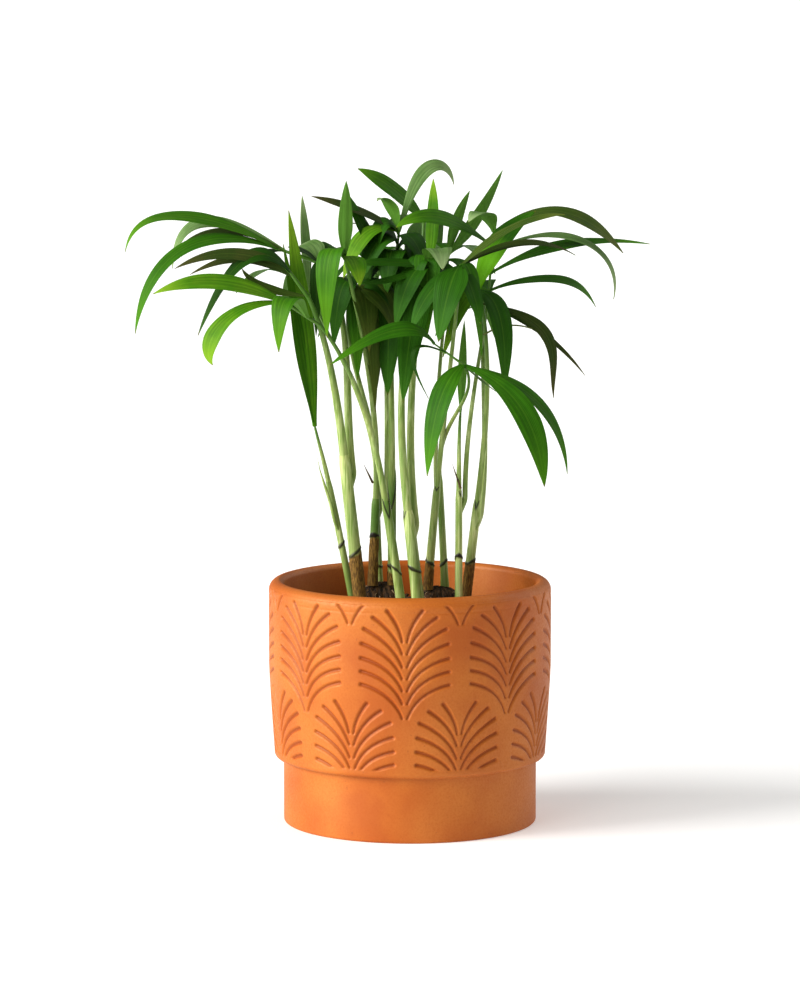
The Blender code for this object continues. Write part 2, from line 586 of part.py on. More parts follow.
def make_leaf(name, base, blade, finish, into):
    """A blade: a strip folded a little along its midrib, given its thickness by Solidify."""
    spans = BACK_LEAF_SPANS if 60 <= blade.heading <= 160 else LEAF_SPANS
    t, points, across, raised = leaf_frame(base, blade, spans)
    half = (blade.width / 2 * leaf_outline(t, blade.widest))[:, None]
    rows = np.stack([points - across * half + raised * half * LEAF_FOLD, points,
                     points + across * half + raised * half * LEAF_FOLD], axis=1)
    corners = rows.reshape(-1, 3) * MM
    first = np.arange(spans)[:, None] * 3 + np.arange(2)[None, :]
    faces = np.stack([first, first + 1, first + 4, first + 3], axis=-1).reshape(-1, 4)
    mesh = bpy.data.meshes.new(name)
    mesh.from_pydata(corners.tolist(), [], faces.tolist())
    made = place(mesh, name, finish, into)
    length = float(np.linalg.norm(np.diff(points, axis=0), axis=1).sum())
    wall = made.modifiers.new("thickness", "SOLIDIFY")
    wall.thickness = max(LEAST_LEAF_THICKNESS, 0.0105 * length) * MM
    wall.offset = 0
    return made


def to_mesh(made):
    """Replaces a curve or a modified object by a plain, welded mesh object of the same name."""
    graph = bpy.context.evaluated_depsgraph_get()
    mesh = bpy.data.meshes.new_from_object(made.evaluated_get(graph))
    mesh.transform(made.matrix_world)
    shape = bmesh.new()
    shape.from_mesh(mesh)
    bmesh.ops.remove_doubles(shape, verts=shape.verts, dist=0.000001)
    bmesh.ops.recalc_face_normals(shape, faces=shape.faces)
    shape.to_mesh(mesh)
    shape.free()
    return mesh


def make_frond(name, frond, finish, into):
    """The petiole, its rachis and the leaflets, joined by one Boolean union into a single body."""
    line, widths = petiole_line(frond)
    head = np.array(frond.head, float)
    heading, out, up = frond.rachis
    spine = compass(heading) * out + np.array([0, 0, up])
    loose = bpy.data.collections.new(name + "_leaves")
    bpy.context.scene.collection.children.link(loose)
    rough = tube(name + "_stalk", line, widths, PETIOLE_SIDES_RESOLUTION, finish, loose)
    blades = [make_leaf(f"{name}_leaf_{i}", head + spine * blade.at, blade, finish, loose)
              for i, blade in enumerate(frond.leaves)]
    bpy.context.view_layer.update()
    whole = place(to_mesh(rough), name, finish, into)
    plain = [place(to_mesh(blade), blade.name + "_plain", finish, loose) for blade in blades]
    for old in [rough, *blades]:
        bpy.data.objects.remove(old)
    if not plain:
        bpy.data.collections.remove(loose)
        return whole
    union = whole.modifiers.new("join", "BOOLEAN")
    union.operation = "UNION"
    union.operand_type = "COLLECTION"
    union.collection = loose
    union.solver = "EXACT"
    bpy.context.view_layer.update()
    joined = to_mesh(whole)
    whole.modifiers.clear()
    whole.data = joined
    for old in plain:
        bpy.data.objects.remove(old)
    bpy.data.collections.remove(loose)
    return whole


def main():
    clear_scene()
    palm = collection("cat_palm_in_pot")
    terracotta = material("terracotta", TERRACOTTA, 0.7)
    earth = material("soil", SOIL_BROWN, 0.95)
    bark = material("root_bark", BARK_BROWN, 0.85)
    green_stem = material("stem_green", STEM_GREEN, 0.45)
    green_leaf = material("leaf_green", LEAF_GREEN, 0.4)
    make_pot(terracotta, palm)
    make_soil(earth, palm)
    for name, crown in ROOT_CROWNS.items():
        make_root_crown(name, crown, bark, palm)
    for name, stem in STEMS.items():
        make_stem(name, stem, green_stem, palm)
    for name, frond in {**FRONDS, **SHEATH_TIPS}.items():
        make_frond(name, frond, green_leaf, palm)


main()
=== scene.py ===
"""The looks of a young cat palm clump in its carved terracotta pot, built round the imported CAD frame.

Sizes below are in millimetres and MM turns them into Blender's metres. The origin is the middle of the pot's
flat underside, +Z is up, +X is to the right and -Y faces the viewer. A heading is a compass angle in plan:
0 points along +X, 90 along +Y, away from the viewer, and 270 straight at the viewer.
"""

import math
from collections import namedtuple

import bpy
import numpy as np
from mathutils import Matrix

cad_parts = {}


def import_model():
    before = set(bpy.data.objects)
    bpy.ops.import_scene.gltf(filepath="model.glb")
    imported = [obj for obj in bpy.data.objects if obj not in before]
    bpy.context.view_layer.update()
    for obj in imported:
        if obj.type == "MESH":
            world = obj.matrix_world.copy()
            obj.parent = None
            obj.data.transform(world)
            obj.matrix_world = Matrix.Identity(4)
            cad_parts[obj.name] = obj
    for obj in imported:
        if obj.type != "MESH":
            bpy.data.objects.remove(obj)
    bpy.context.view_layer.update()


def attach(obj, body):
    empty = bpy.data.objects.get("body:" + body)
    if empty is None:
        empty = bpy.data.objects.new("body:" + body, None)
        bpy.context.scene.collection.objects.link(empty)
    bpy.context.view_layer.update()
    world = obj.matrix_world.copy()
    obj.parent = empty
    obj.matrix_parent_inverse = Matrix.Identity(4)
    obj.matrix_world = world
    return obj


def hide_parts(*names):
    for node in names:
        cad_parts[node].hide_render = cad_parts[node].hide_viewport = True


MM = 0.001

# The pot: a thick-walled cylinder with a wide collar over a narrower foot.
POT_HEIGHT = 108
FOOT_HEIGHT = 29
FOOT_RADIUS = 56
COLLAR_LOW_RADIUS = 60
COLLAR_RADIUS = 62.4
COLLAR_FULL_HEIGHT = 70
LIP_OUTER_ROUND = 4.5
LIP_INNER_ROUND = 2.6
MOUTH_RADIUS = 55.8
FLOOR_THICKNESS = 7
WELL_RADIUS = 49.4
# The inner wall steps out between two heights, and then runs evenly up to the lip.
STEP_LOW = FOOT_HEIGHT - 3
STEP_HIGH = FOOT_HEIGHT + 7
STEP_RADIUS = MOUTH_RADIUS - 2
INNER_WALL = (MOUTH_RADIUS - 0.8, 80)
# The roundings of the well's floor, the collar's lower edge, the corner under it and the foot's lower edge.
WELL_ROUND = 3
ROLL_ROUND = 2.2
CORNER_ROUND = 0.8
FOOT_ROUND = 1.2
# A turned profile starts and ends this near the axis, where a fan of triangles closes it.
HUB_RADIUS = 2
POT_COLUMNS = 240

# The carving: fans of curved grooves round the collar, in rows that are half a fan apart.
FANS_ROUND = 8
FAN_TURN = -2.1
FAN_FOOT = 56
FAN_RADIUS = 62
ROW_STEP = 40.8
GROOVE_DEPTH = 0.9
GROOVE_INNER_WIDTH = 0.9
GROOVE_OUTER_WIDTH = 1.75
GROOVE_STEPS = 15
Groove = namedtuple("Groove", "root pull end")
# Right-hand grooves of one fan, as (across, up) from the fan's foot: where each starts by the midline, the
# point that its curve is pulled towards, and its outer end. The left-hand ones mirror them.
FAN_GROOVES = [
    Groove((1.1, 33.5), (2.2, 40.5), (7.6, 46.9)),
    Groove((1.1, 28.3), (4.4, 38.0), (13.8, 43.9)),
    Groove((1.1, 22.6), (4.9, 33.0), (17.9, 38.8)),
    Groove((1.1, 17.4), (5.2, 28.3), (18.9, 32.3)),
    Groove((1.1, 12.2), (5.4, 23.0), (19.2, 26.0)),
    Groove((1.1, 6.5), (5.4, 17.6), (19.2, 20.2)),
    Groove((1.1, 0.0), (5.4, 11.6), (19.3, 14.5)),
]
# The carved band of the collar: its edges, how far its slabs reach into the wall, how many of them go round,
# and how far apart their points are. The crease runs round it just under the lip.
BAND_TOP = 105.3
BAND_BOTTOM = 32
BAND_DEPTH = 2.4
CARVED_QUARTERS = 4
CARVING_STEP = 0.36
LIP_CREASE = 101.7
CREASE_DEPTH = 0.16

# The soil: a low dome that fills the pot, flat where the stems stand on it, with loose crumbs.
SOIL_EDGE = 87
SOIL_TOP = 95
SOIL_PLATEAU = 37
SOIL_CLEAR = 0.5
SOIL_RIM = MOUTH_RADIUS - 0.7 - SOIL_CLEAR
SOIL_ROWS, SOIL_COLUMNS = 78, 260
CRUMBS = 520
CRUMBS_REACH = 52

# Pieces that meet keep this gap.
GAP = 0.3

Stem = namedtuple("Stem", "foot top foot_width top_width")
Crown = namedtuple("Crown", "middle width height")
Leaf = namedtuple("Leaf", "at heading arch tip width roll widest bend")
Frond = namedtuple("Frond", "stem joins side head rachis leaves")


def leaf(at, heading, arch, tip, width=10, roll=0, widest=0.42, bend=(0, 0)):
    """One leaflet. at is its place along the rachis, from 0 to 1, arch and tip are the (out, up) of its
    halfway point and its tip from its base, and roll turns its upper face about its own length. bend moves
    the point at three quarters of its length by that (out, up)."""
    return Leaf(at, heading, arch, tip, width, roll, widest, bend)


# Lumps of old seed and root that stand out of the soil, with stems rising from their tops. From its middle to
# its back or front a crown reaches CROWN_DEPTH of its width, and its foot is sunk in the soil.
ROOT_CROWNS = {
    "root_crown_left": Crown(middle=(-13, 10), width=21, height=10),
    "root_crown_right": Crown(middle=(13, 7), width=20, height=8.5),
}
CROWN_DEPTH = 0.38
CROWN_SINK = 1.2
CROWN_ROWS, CROWN_COLUMNS = 26, 72

# Stems: the foot is where one leaves the soil or a root crown, and the top is where its petioles part.
STEMS = {
    "stem_01": Stem(foot=(-25, 3), top=(-36, 2, 151), foot_width=3.2, top_width=2.8),
    "stem_02": Stem(foot=(-21.5, -8), top=(-29, -8, 164), foot_width=5.8, top_width=5.0),
    "stem_03": Stem(foot=(-16.5, 6.5), top=(-15, 6, 143), foot_width=4.2, top_width=3.8),
    "stem_04": Stem(foot=(-13.5, 15), top=(-15, 17, 150), foot_width=2.8, top_width=2.4),
    "stem_05": Stem(foot=(-8, 8.5), top=(-8, 3, 158), foot_width=3.6, top_width=4.0),
    "stem_06": Stem(foot=(-3.5, -9), top=(-11, -9, 145), foot_width=4.2, top_width=3.8),
    "stem_07": Stem(foot=(4, -12), top=(-1, -11, 140), foot_width=5.8, top_width=4.8),
    "stem_08": Stem(foot=(8, 4), top=(12, 2, 149), foot_width=4.0, top_width=3.2),
    "stem_09": Stem(foot=(15.5, 9), top=(13, 9.5, 153), foot_width=3.4, top_width=2.8),
    "stem_10": Stem(foot=(21.5, -6), top=(21.5, -6, 148), foot_width=3.4, top_width=3.0),
    "stem_11": Stem(foot=(24.5, 3), top=(30, 1, 143), foot_width=4.4, top_width=3.8),
}

# Fronds: a petiole that leaves its stem at the share joins of its height, on the side with that heading,
# and rises to the head, where the rachis (heading, out, up) begins and carries the leaflets.
FRONDS = {
    "frond_01_spear": Frond(
        "stem_01", 1.0, 180, head=(-41.4, -2, 174), rachis=(180, 1, 4),
        leaves=[
            leaf(0.5, 180, arch=(4.8, 46), tip=(11.2, 95), width=9, roll=70),
            leaf(1.0, 195, arch=(6, 37), tip=(13.5, 78.5), width=8, roll=60),
        ]),
    "frond_02_left": Frond(
        "stem_02", 1.0, 180, head=(-44, -14, 233.4), rachis=(180, 8.3, 11.5),
        leaves=[
            leaf(1.0, 176, arch=(20, 5), tip=(40.5, -28), width=11, roll=30),
            leaf(1.0, 178, arch=(25.4, 8), tip=(50.4, 1.3), width=5.5, roll=78, widest=0.3),
            leaf(0.8, 170, arch=(22, 8), tip=(46.5, 0.5), width=4.5, roll=80, widest=0.3),
            leaf(0.1, 178, arch=(19, 4), tip=(28.5, 12), width=4, roll=60),
        ]),
    "frond_03_far_left": Frond(
        "stem_02", 0.9, 60, head=(-40.4, 6, 247.7), rachis=(180, 18, 6),
        leaves=[
            leaf(1.0, 178, arch=(40.5, 14), tip=(67, -1.6), width=10, roll=24, widest=0.5, bend=(1.5, 2)),
            leaf(0.85, 170, arch=(39, 5), tip=(66.5, -33), width=8, roll=20),
            leaf(1.0, 190, arch=(41, 0.5), tip=(63, -36.5), width=11, roll=25, bend=(0.6, 0.6)),
            leaf(0.9, 150, arch=(18, -3), tip=(36, -7), width=9, roll=20),
            leaf(0.8, 160, arch=(38, 12), tip=(54, -9), width=7, roll=50, widest=0.6, bend=(0, 0.6)),
            leaf(0.0, 115, arch=(8, 6.5), tip=(20, 6), width=11, roll=20),
            leaf(0.0, 60, arch=(10, 6), tip=(18, 3), width=10, roll=-20),
            leaf(0.0, 200, arch=(7, 5), tip=(14, 7), width=9, roll=20),
            leaf(0.0, 262, arch=(4, -8), tip=(6, -32), width=6, roll=0),
        ]),
    "frond_04_front_left": Frond(
        "stem_06", 1.0, 180, head=(-39, -24, 222.5), rachis=(180, 16, 10.2),
        leaves=[
            leaf(1.0, 178, arch=(29.4, 8.6), tip=(56.7, 3.3), width=12.5, roll=30),
            leaf(1.0, 190, arch=(24.5, -7), tip=(31, -27), width=9.5, roll=35, widest=0.68, bend=(1.6, -1)),
            leaf(0.35, 243, arch=(20, 9), tip=(26, -13), width=12, roll=0),
        ]),
    "frond_05_front": Frond(
        "stem_03", 1.0, 200, head=(-27.9, -14, 249.3), rachis=(230, 1, 2),
        leaves=[
            leaf(1.0, 235, arch=(11.5, 0), tip=(13, -34), width=10, roll=0),
            leaf(1.0, 300, arch=(9, -1), tip=(13.5, -11.5), width=9, roll=0),
            leaf(1.0, 0, arch=(0.5, 16.5), tip=(0.8, 33.3), width=6.5, roll=80),
        ]),
    "frond_06_middle": Frond(
        "stem_03", 0.92, 60, head=(-25.9, 2, 234.8), rachis=(330, 2, 2),
        leaves=[
            leaf(1.0, 330, arch=(13, -3), tip=(20.5, -16), width=11, roll=-20),
            leaf(1.0, 302, arch=(8, -3), tip=(12, -22), width=10, roll=0),
            leaf(1.0, 348, arch=(12, 0), tip=(22, -12), width=10, roll=-20),
            leaf(1.0, 110, arch=(14, 3), tip=(27, -10), width=10, roll=0),
            leaf(1.0, 225, arch=(8, 0), tip=(13, -20), width=9, roll=20),
            leaf(1.0, 350, arch=(6.5, -16), tip=(9, -48), width=8, roll=-40),
        ]),
    "frond_07_crest": Frond(
        "stem_05", 1.0, 90, head=(-7.5, 8, 239.6), rachis=(0, 2.7, 21.5),
        leaves=[
            leaf(1.0, 180, arch=(18.4, 9.3), tip=(38.5, 15.5), width=9, roll=20),
            leaf(1.0, 172, arch=(13.5, 2.6), tip=(26.5, 4), width=2, roll=0),
            leaf(1.0, 200, arch=(15.4, -1), tip=(26, -20), width=9, roll=30, widest=0.62),
            leaf(0.1, 185, arch=(11.4, 17.7), tip=(20.5, 36.5), width=9, roll=45),
            leaf(1.0, 15, arch=(12.5, 27), tip=(25, 20.2), width=6.5, roll=-60, widest=0.5, bend=(1, 0.6)),
            leaf(1.0, 225, arch=(6.8, 13), tip=(13.6, 14), width=9, roll=0),
            leaf(0.8, 210, arch=(10, 0), tip=(18, -16), width=11, roll=20),
            leaf(0.9, 330, arch=(8, -2), tip=(15, -17), width=11, roll=-10),
            leaf(0.5, 250, arch=(7, 1), tip=(12, -12), width=10, roll=0),
            leaf(0.45, 320, arch=(8, 0), tip=(13, -22), width=11, roll=-20),
            leaf(0.2, 180, arch=(9, 1), tip=(16, -11), width=10, roll=25),
            leaf(0.0, 255, arch=(6, -18), tip=(9, -50), width=8, roll=0),
        ]),
    "frond_08_centre": Frond(
        "stem_07", 1.0, 180, head=(7.4, -4, 245.8), rachis=(0, 1, 1),
        leaves=[
            leaf(1.0, 82, arch=(11, 19.5), tip=(13, 37.5), width=6, roll=10),
            leaf(1.0, 190, arch=(17.3, 1.8), tip=(34.5, 1.3), width=8, roll=25),
            leaf(1.0, 205, arch=(17.4, -5), tip=(33.3, -6.5), width=4, roll=40),
            leaf(1.0, 285, arch=(14, 8.5), tip=(22, 0), width=13, roll=0),
            leaf(1.0, 0, arch=(5.5, 0), tip=(11, -1), width=8, roll=-20),
            leaf(1.0, 222, arch=(11, -5), tip=(20, -26), width=11, roll=10),
            leaf(1.0, 240, arch=(14, -22), tip=(23, -58), width=8, roll=30),
        ]),
    "frond_09_top": Frond(
        "stem_07", 0.88, 60, head=(6.2, 22, 264.2), rachis=(90, 1, 1),
        leaves=[
            leaf(1.0, 190, arch=(14, 13.7), tip=(29.7, 23), width=9, roll=30),
            leaf(1.0, 80, arch=(20, 0), tip=(44, -18), width=10, roll=0),
            leaf(1.0, 120, arch=(22, -1), tip=(46, -17), width=10, roll=0),
            leaf(0.0, 100, arch=(20, -9), tip=(40, -36), width=10, roll=0),
        ]),
    "frond_10_front_right": Frond(
        "stem_08", 1.0, 300, head=(21.7, -18, 246.9), rachis=(270, 1, 1),
        leaves=[
            leaf(1.0, 245, arch=(11, -9), tip=(22.5, -31), width=15, roll=0),
            leaf(1.0, 205, arch=(14.4, -11), tip=(23.5, -27.7), width=9, roll=30),
            leaf(1.0, 300, arch=(10, -9.5), tip=(17.4, -23.7), width=9, roll=0),
            leaf(1.0, 350, arch=(23, 17), tip=(45.8, 23), width=8, roll=-25),
            leaf(1.0, 15, arch=(28, 9.5), tip=(52.4, 3.7), width=7, roll=-20),
        ]),
    "frond_11_right": Frond(
        "stem_11", 1.0, 0, head=(31.5, -4, 230.3), rachis=(180, 2, 5.5),
        leaves=[
            leaf(1.0, 310, arch=(15, -10.5), tip=(18, -44), width=11, roll=-10),
            leaf(1.0, 20, arch=(9.6, 20.7), tip=(27.3, 34.4), width=10, roll=-55),
            leaf(0.0, 345, arch=(29, -13.4), tip=(32.4, -40.6), width=6.5, roll=-35, bend=(-1.8, 0)),
            leaf(0.0, 5, arch=(25.4, -12.2), tip=(45.7, -32.1), width=3, roll=-60),
        ]),
    "frond_12_far_right": Frond(
        "stem_10", 0.95, 30, head=(34.8, 12, 234.5), rachis=(0, 2.2, 26),
        leaves=[
            leaf(0.0, 10, arch=(27.6, 5), tip=(48.3, -7.7), width=8, roll=-25, widest=0.62, bend=(0, 1.6)),
            leaf(0.3, 0, arch=(32.9, 12.6), tip=(70.3, 13), width=9, roll=-22),
            leaf(0.72, 352, arch=(37.5, 4.6), tip=(53.7, -21.8), width=7, roll=-18, widest=0.6,
                 bend=(2, 0.6)),
            leaf(1.0, 356, arch=(29.5, 9), tip=(57, -9), width=10, roll=-26, widest=0.62),
            leaf(1.0, 235, arch=(9, 9), tip=(20, 5.5), width=11, roll=0),
            leaf(0.75, 205, arch=(26, 13.6), tip=(47, 9.9), width=9, roll=25),
            leaf(0.0, 200, arch=(11, -4), tip=(21.6, -28.5), width=9, roll=30),
        ]),
    "frond_13_spear": Frond(
        "stem_10", 1.0, 0, head=(22, -4, 180), rachis=(0, 0.2, 2),
        leaves=[
            leaf(1.0, 0, arch=(0.8, 20), tip=(1.6, 41), width=4, roll=80),
        ]),
    "frond_14_low_front": Frond(
        "stem_09", 1.0, 0, head=(23.8, -32, 205.6), rachis=(180, 13.4, 9.7),
        leaves=[
            leaf(0.05, 225, arch=(14.4, -14.5), tip=(22.4, -46.5), width=12, roll=10),
            leaf(0.0, 325, arch=(29, -16.5), tip=(41.2, -49.6), width=11, roll=-35, widest=0.6),
            leaf(0.0, 350, arch=(32, -15.5), tip=(44.8, -46), width=7, roll=-30),
            leaf(1.0, 190, arch=(17.1, 6), tip=(45.7, -8.5), width=11, roll=28),
            leaf(0.6, 200, arch=(15.2, 1), tip=(8.3, -19.7), width=2.5, roll=30),
            leaf(0.0, 20, arch=(6, -5.3), tip=(14.3, -11.5), width=2.5, roll=-30),
        ]),
    "frond_15_back": Frond(
        "stem_09", 0.85, 120, head=(16.8, 20, 247.7), rachis=(90, 2, 2),
        leaves=[
            leaf(1.0, 0, arch=(3.9, 15), tip=(9.7, 28.5), width=5, roll=75),
            leaf(1.0, 10, arch=(12.8, 16), tip=(24.6, 37.3), width=6, roll=75),
            leaf(1.0, 95, arch=(22, 3), tip=(48, -14), width=10, roll=0),
            leaf(1.0, 65, arch=(25, 2), tip=(52, -12), width=10, roll=0),
            leaf(0.5, 130, arch=(18, -4), tip=(36, -24), width=10, roll=0),
            leaf(0.0, 350, arch=(9, -5), tip=(16, -22), width=9, roll=-20),
        ]),
    "frond_16_back_right": Frond(
        "stem_11", 0.88, 60, head=(33, 24, 226), rachis=(80, 9, 5),
        leaves=[
            leaf(1.0, 92, arch=(24, 4), tip=(50, -15), width=10, roll=0),
            leaf(1.0, 115, arch=(22, 5), tip=(48, -14), width=10, roll=0),
            leaf(0.6, 72, arch=(14, -2), tip=(26, -16), width=9, roll=0),
            leaf(0.5, 128, arch=(18, -1), tip=(36, -18), width=10, roll=0),
            leaf(0.1, 150, arch=(12, -3), tip=(22, -14), width=9, roll=0),
            leaf(0.1, 62, arch=(9, -5), tip=(16, -21), width=9, roll=0),
        ]),
    "frond_17_back_left": Frond(
        "stem_04", 1.0, 90, head=(-43.4, 30, 229.5), rachis=(140, 2, 3),
        leaves=[
            leaf(1.0, 180, arch=(1.5, 23), tip=(3, 43), width=4.5, roll=80),
            leaf(1.0, 137, arch=(23, 9), tip=(46, -3), width=10, roll=0),
            leaf(1.0, 105, arch=(22, 6), tip=(50, -14), width=10, roll=0),
            leaf(0.6, 118, arch=(15, 1), tip=(30, -12), width=9, roll=0),
            leaf(0.4, 96, arch=(17, -4), tip=(33, -24), width=10, roll=0),
            leaf(0.2, 80, arch=(14, -2), tip=(28, -24), width=9, roll=0),
        ]),
    "frond_18_back": Frond(
        "stem_05", 0.85, 120, head=(-15, 26, 240), rachis=(120, 3, 3),
        leaves=[
            leaf(1.0, 120, arch=(24, 8), tip=(52, -12), width=10, roll=0),
            leaf(1.0, 70, arch=(22, 8), tip=(48, -12), width=10, roll=0),
            leaf(1.0, 165, arch=(12, 1), tip=(21, -13), width=10, roll=20),
            leaf(0.0, 330, arch=(12, -2), tip=(20, -22), width=10, roll=0),
            leaf(0.6, 95, arch=(20, 0), tip=(42, -26), width=10, roll=0),
            leaf(0.2, 140, arch=(17, -4), tip=(34, -30), width=9, roll=0),
        ]),
}

# Bare tips of old leaf sheaths that still stand against their stems.
SHEATH_TIPS = {
    "sheath_tip_left": Frond("stem_01", 0.75, 255, head=(-39.8, -0.5, 157), rachis=(180, 1, 5), leaves=[]),
    "sheath_tip_right": Frond("stem_11", 0.85, 295, head=(33.4, -3.6, 165), rachis=(0, 0.8, 7), leaves=[]),
}

# The values that a cane's skin carries at each point, and how far each pattern on it is drawn out upwards.
CANE_VALUES = ("woody", "scar", "rise", "tone")
STREAK_STRETCH = (1.0, 1.0, 0.05)
STRAND_STRETCH = (1.0, 1.0, 0.22)
# A blade's pattern: 16 veins are fewer than a real leaflet has, so that they still show at this size, and the
# streaks are drawn out along it.
VEINS_DRAWN = 16
LEAF_STREAKS = (9.0, 1.3, 1.0)

# Leaf finishes: the blade's colour, the colour its tip turns to, its roughness, and its foot's colour if that
# differs. Their greens, from bright through dark to pale, are partly painted light and shade, as LEAF_TINTS
# says.
TINTS = {
    "bright": ("#4c8410", "#8aac2c", 0.5),
    "fresh": ("#3d720d", "#5f8f1a", 0.48),
    "rich": ("#32660b", "#4f8414", 0.48),
    "deep": ("#28560a", "#3a6c14", 0.48),
    "dark": ("#1f4408", "#305512", 0.46),
    "olive": ("#40561a", "#626c2c", 0.48),
    "bronze": ("#344516", "#534c24", 0.50),
    "pale": ("#688a4a", "#9bae7c", 0.50),
    "turning": ("#28560a", "#3a6c14", 0.48, "#5c960f"),
}
LETTERS = {"a": "bright", "b": "fresh", "c": "rich", "d": "deep", "e": "dark", "f": "olive", "g": "bronze",
           "h": "pale", "i": "turning"}
# The tint of each leaflet of each frond, in the order of FRONDS, by the letters above. The tints are partly
# the leaves' own greens and partly painted light and shade: the darkest are partly painted shade on blades
# inside the crown, the pale ones partly a painted sheen, and brighter ones painted light on blades that turn
# away from the lamps.
LEAF_TINTS = {name: [LETTERS[letter] for letter in letters] for name, letters in {
    "frond_01_spear": "ab",
    "frond_02_left": "eggf",
    "frond_03_far_left": "bfcehhdee",
    "frond_04_front_left": "aab",
    "frond_05_front": "bac",
    "frond_06_middle": "ffdddf",
    "frond_07_crest": "ggadhhdddddd",
    "frond_08_centre": "addhddd",
    "frond_09_top": "bccc",
    "frond_10_front_right": "dddfg",
    "frond_11_right": "digg",
    "frond_12_far_right": "cchfhba",
    "frond_13_spear": "d",
    "frond_14_low_front": "cccceh",
    "frond_15_back": "hhcccc",
    "frond_16_back_right": "cccccc",
    "frond_17_back_left": "hccccc",
    "frond_18_back": "cccccc",
}.items()}


def colour(hex_code):
    """Linear RGBA of an sRGB hex code."""
    shares = [int(hex_code[i:i + 2], 16) / 255 for i in (1, 3, 5)]
    linear = [s / 12.92 if s <= 0.04045 else ((s + 0.055) / 1.055) ** 2.4 for s in shares]
    return (*linear, 1.0)


def unit(vector):
    """The vector's direction, at length 1."""
    return vector / np.linalg.norm(vector)


def compass(heading):
    """The level direction with that heading, as an array."""
    angle = math.radians(heading)
    return np.array([math.cos(angle), math.sin(angle), 0.0])


def smooth(share):
    """3s^2 - 2s^3 between 0 and 1: a step with soft ends."""
    share = np.clip(share, 0, 1)
    return share * share * (3 - 2 * share)


def bow(t, start, pull, end):
    """The curve (1 - t)^2 start + 2t(1 - t) pull + t^2 end, at each share t of the way."""
    return (1 - t) ** 2 * start + 2 * t * (1 - t) * pull + t ** 2 * end


def lumps(points, size, seed):
    """Smooth random relief from -1 to 1: a lattice of random values, one every `size` mm, blended between
    the eight corners of each cell by 3f^2 - 2f^3."""
    table = np.random.default_rng(seed).uniform(-1, 1, (32, 32, 32))
    place = np.asarray(points, float) / size
    cell = np.floor(place).astype(int)
    blend = smooth(place - cell)
    total = 0
    for corner in np.ndindex(2, 2, 2):
        at = (cell + corner) % 32
        weight = np.prod(np.where(corner, blend, 1 - blend), axis=-1)
        total = total + weight * table[at[..., 0], at[..., 1], at[..., 2]]
    return total


# Meshes. A patch is one closed skin: its points, its faces, a UV and named values at each point, and the
# material slot of each face.

Patch = namedtuple("Patch", "points quads tris uv values quad_slots tri_slots")


def closed_patch(points, uv=None, values=None, slots=0):
    """A skin over a grid (rows, columns) whose columns run round it: quads between the rows, and at each end
    a fan of triangles to the middle of that row. It is turned, if need be, so that its volume is positive."""
    rows, columns = points.shape[:2]
    row = np.arange(rows - 1)[:, None] * columns
    here = np.arange(columns)[None, :]
    after = (here + 1) % columns
    quads = np.stack([row + here, row + after, row + after + columns, row + here + columns], -1)
    quads = quads.reshape(-1, 4)
    low, high = rows * columns, rows * columns + 1
    last = (rows - 1) * columns
    tris = np.concatenate([
        np.stack([np.full(columns, low), after[0], here[0]], -1),
        np.stack([np.full(columns, high), last + here[0], last + after[0]], -1),
    ])

    def with_ends(grid):
        flat = grid.reshape(rows * columns, -1)
        return np.concatenate([flat, grid[0].mean(0).reshape(1, -1), grid[-1].mean(0).reshape(1, -1)])

    spots = with_ends(points)
    a, b, c, d = (spots[quads[:, i]] for i in range(4))
    e, f, g = (spots[tris[:, i]] for i in range(3))
    volume = (np.cross(a, b) * c).sum() + (np.cross(a, c) * d).sum() + (np.cross(e, f) * g).sum()
    if volume < 0:
        quads, tris = quads[:, ::-1], tris[:, ::-1]
    if uv is None:
        across, along = np.meshgrid(np.linspace(0, 1, columns), np.linspace(0, 1, rows))
        uv = np.stack([across, along], -1)
    quad_slots = np.broadcast_to(slots, (rows - 1, columns)).reshape(-1)
    tri_slots = np.full(len(tris), quad_slots[0])
    named = {key: with_ends(value[..., None])[:, 0] for key, value in (values or {}).items()}
    return Patch(spots, quads, tris, with_ends(uv), named, quad_slots, tri_slots)


def stand(name, data):
    """A new object of that name in the scene, with that mesh, lamp or lens."""
    made = bpy.data.objects.new(name, data)
    bpy.context.scene.collection.objects.link(made)
    return made


def piece(name, patches, finishes, sharp_degrees=60):
    """One mesh object out of patches, shaded smooth but for edges sharper than sharp_degrees."""
    offsets = np.cumsum([0] + [len(p.points) for p in patches[:-1]])
    points = np.concatenate([p.points for p in patches]) * MM
    quads = np.concatenate([p.quads + o for p, o in zip(patches, offsets)])
    tris = np.concatenate([p.tris + o for p, o in zip(patches, offsets)])
    mesh = bpy.data.meshes.new(name)
    mesh.from_pydata(points.tolist(), [], quads.tolist() + tris.tolist())
    for finish in finishes:
        mesh.materials.append(finish)
    face_slots = np.concatenate([p.quad_slots for p in patches] + [p.tri_slots for p in patches])
    mesh.polygons.foreach_set("material_index", face_slots.astype(np.int32))
    corners = np.zeros(len(mesh.loops), np.int32)
    mesh.loops.foreach_get("vertex_index", corners)
    uv = np.concatenate([p.uv for p in patches])
    mesh.uv_layers.new(name="surface").data.foreach_set("uv", uv[corners].astype(np.float32).ravel())
    for key in patches[0].values:
        shares = np.concatenate([p.values[key] for p in patches]).astype(np.float32)
        mesh.attributes.new(key, "FLOAT", "POINT").data.foreach_set("value", shares)
    mesh.shade_smooth()
    mesh.set_sharp_from_angle(angle=math.radians(sharp_degrees))
    made = stand(name, mesh)
    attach(made, "root")
    return made


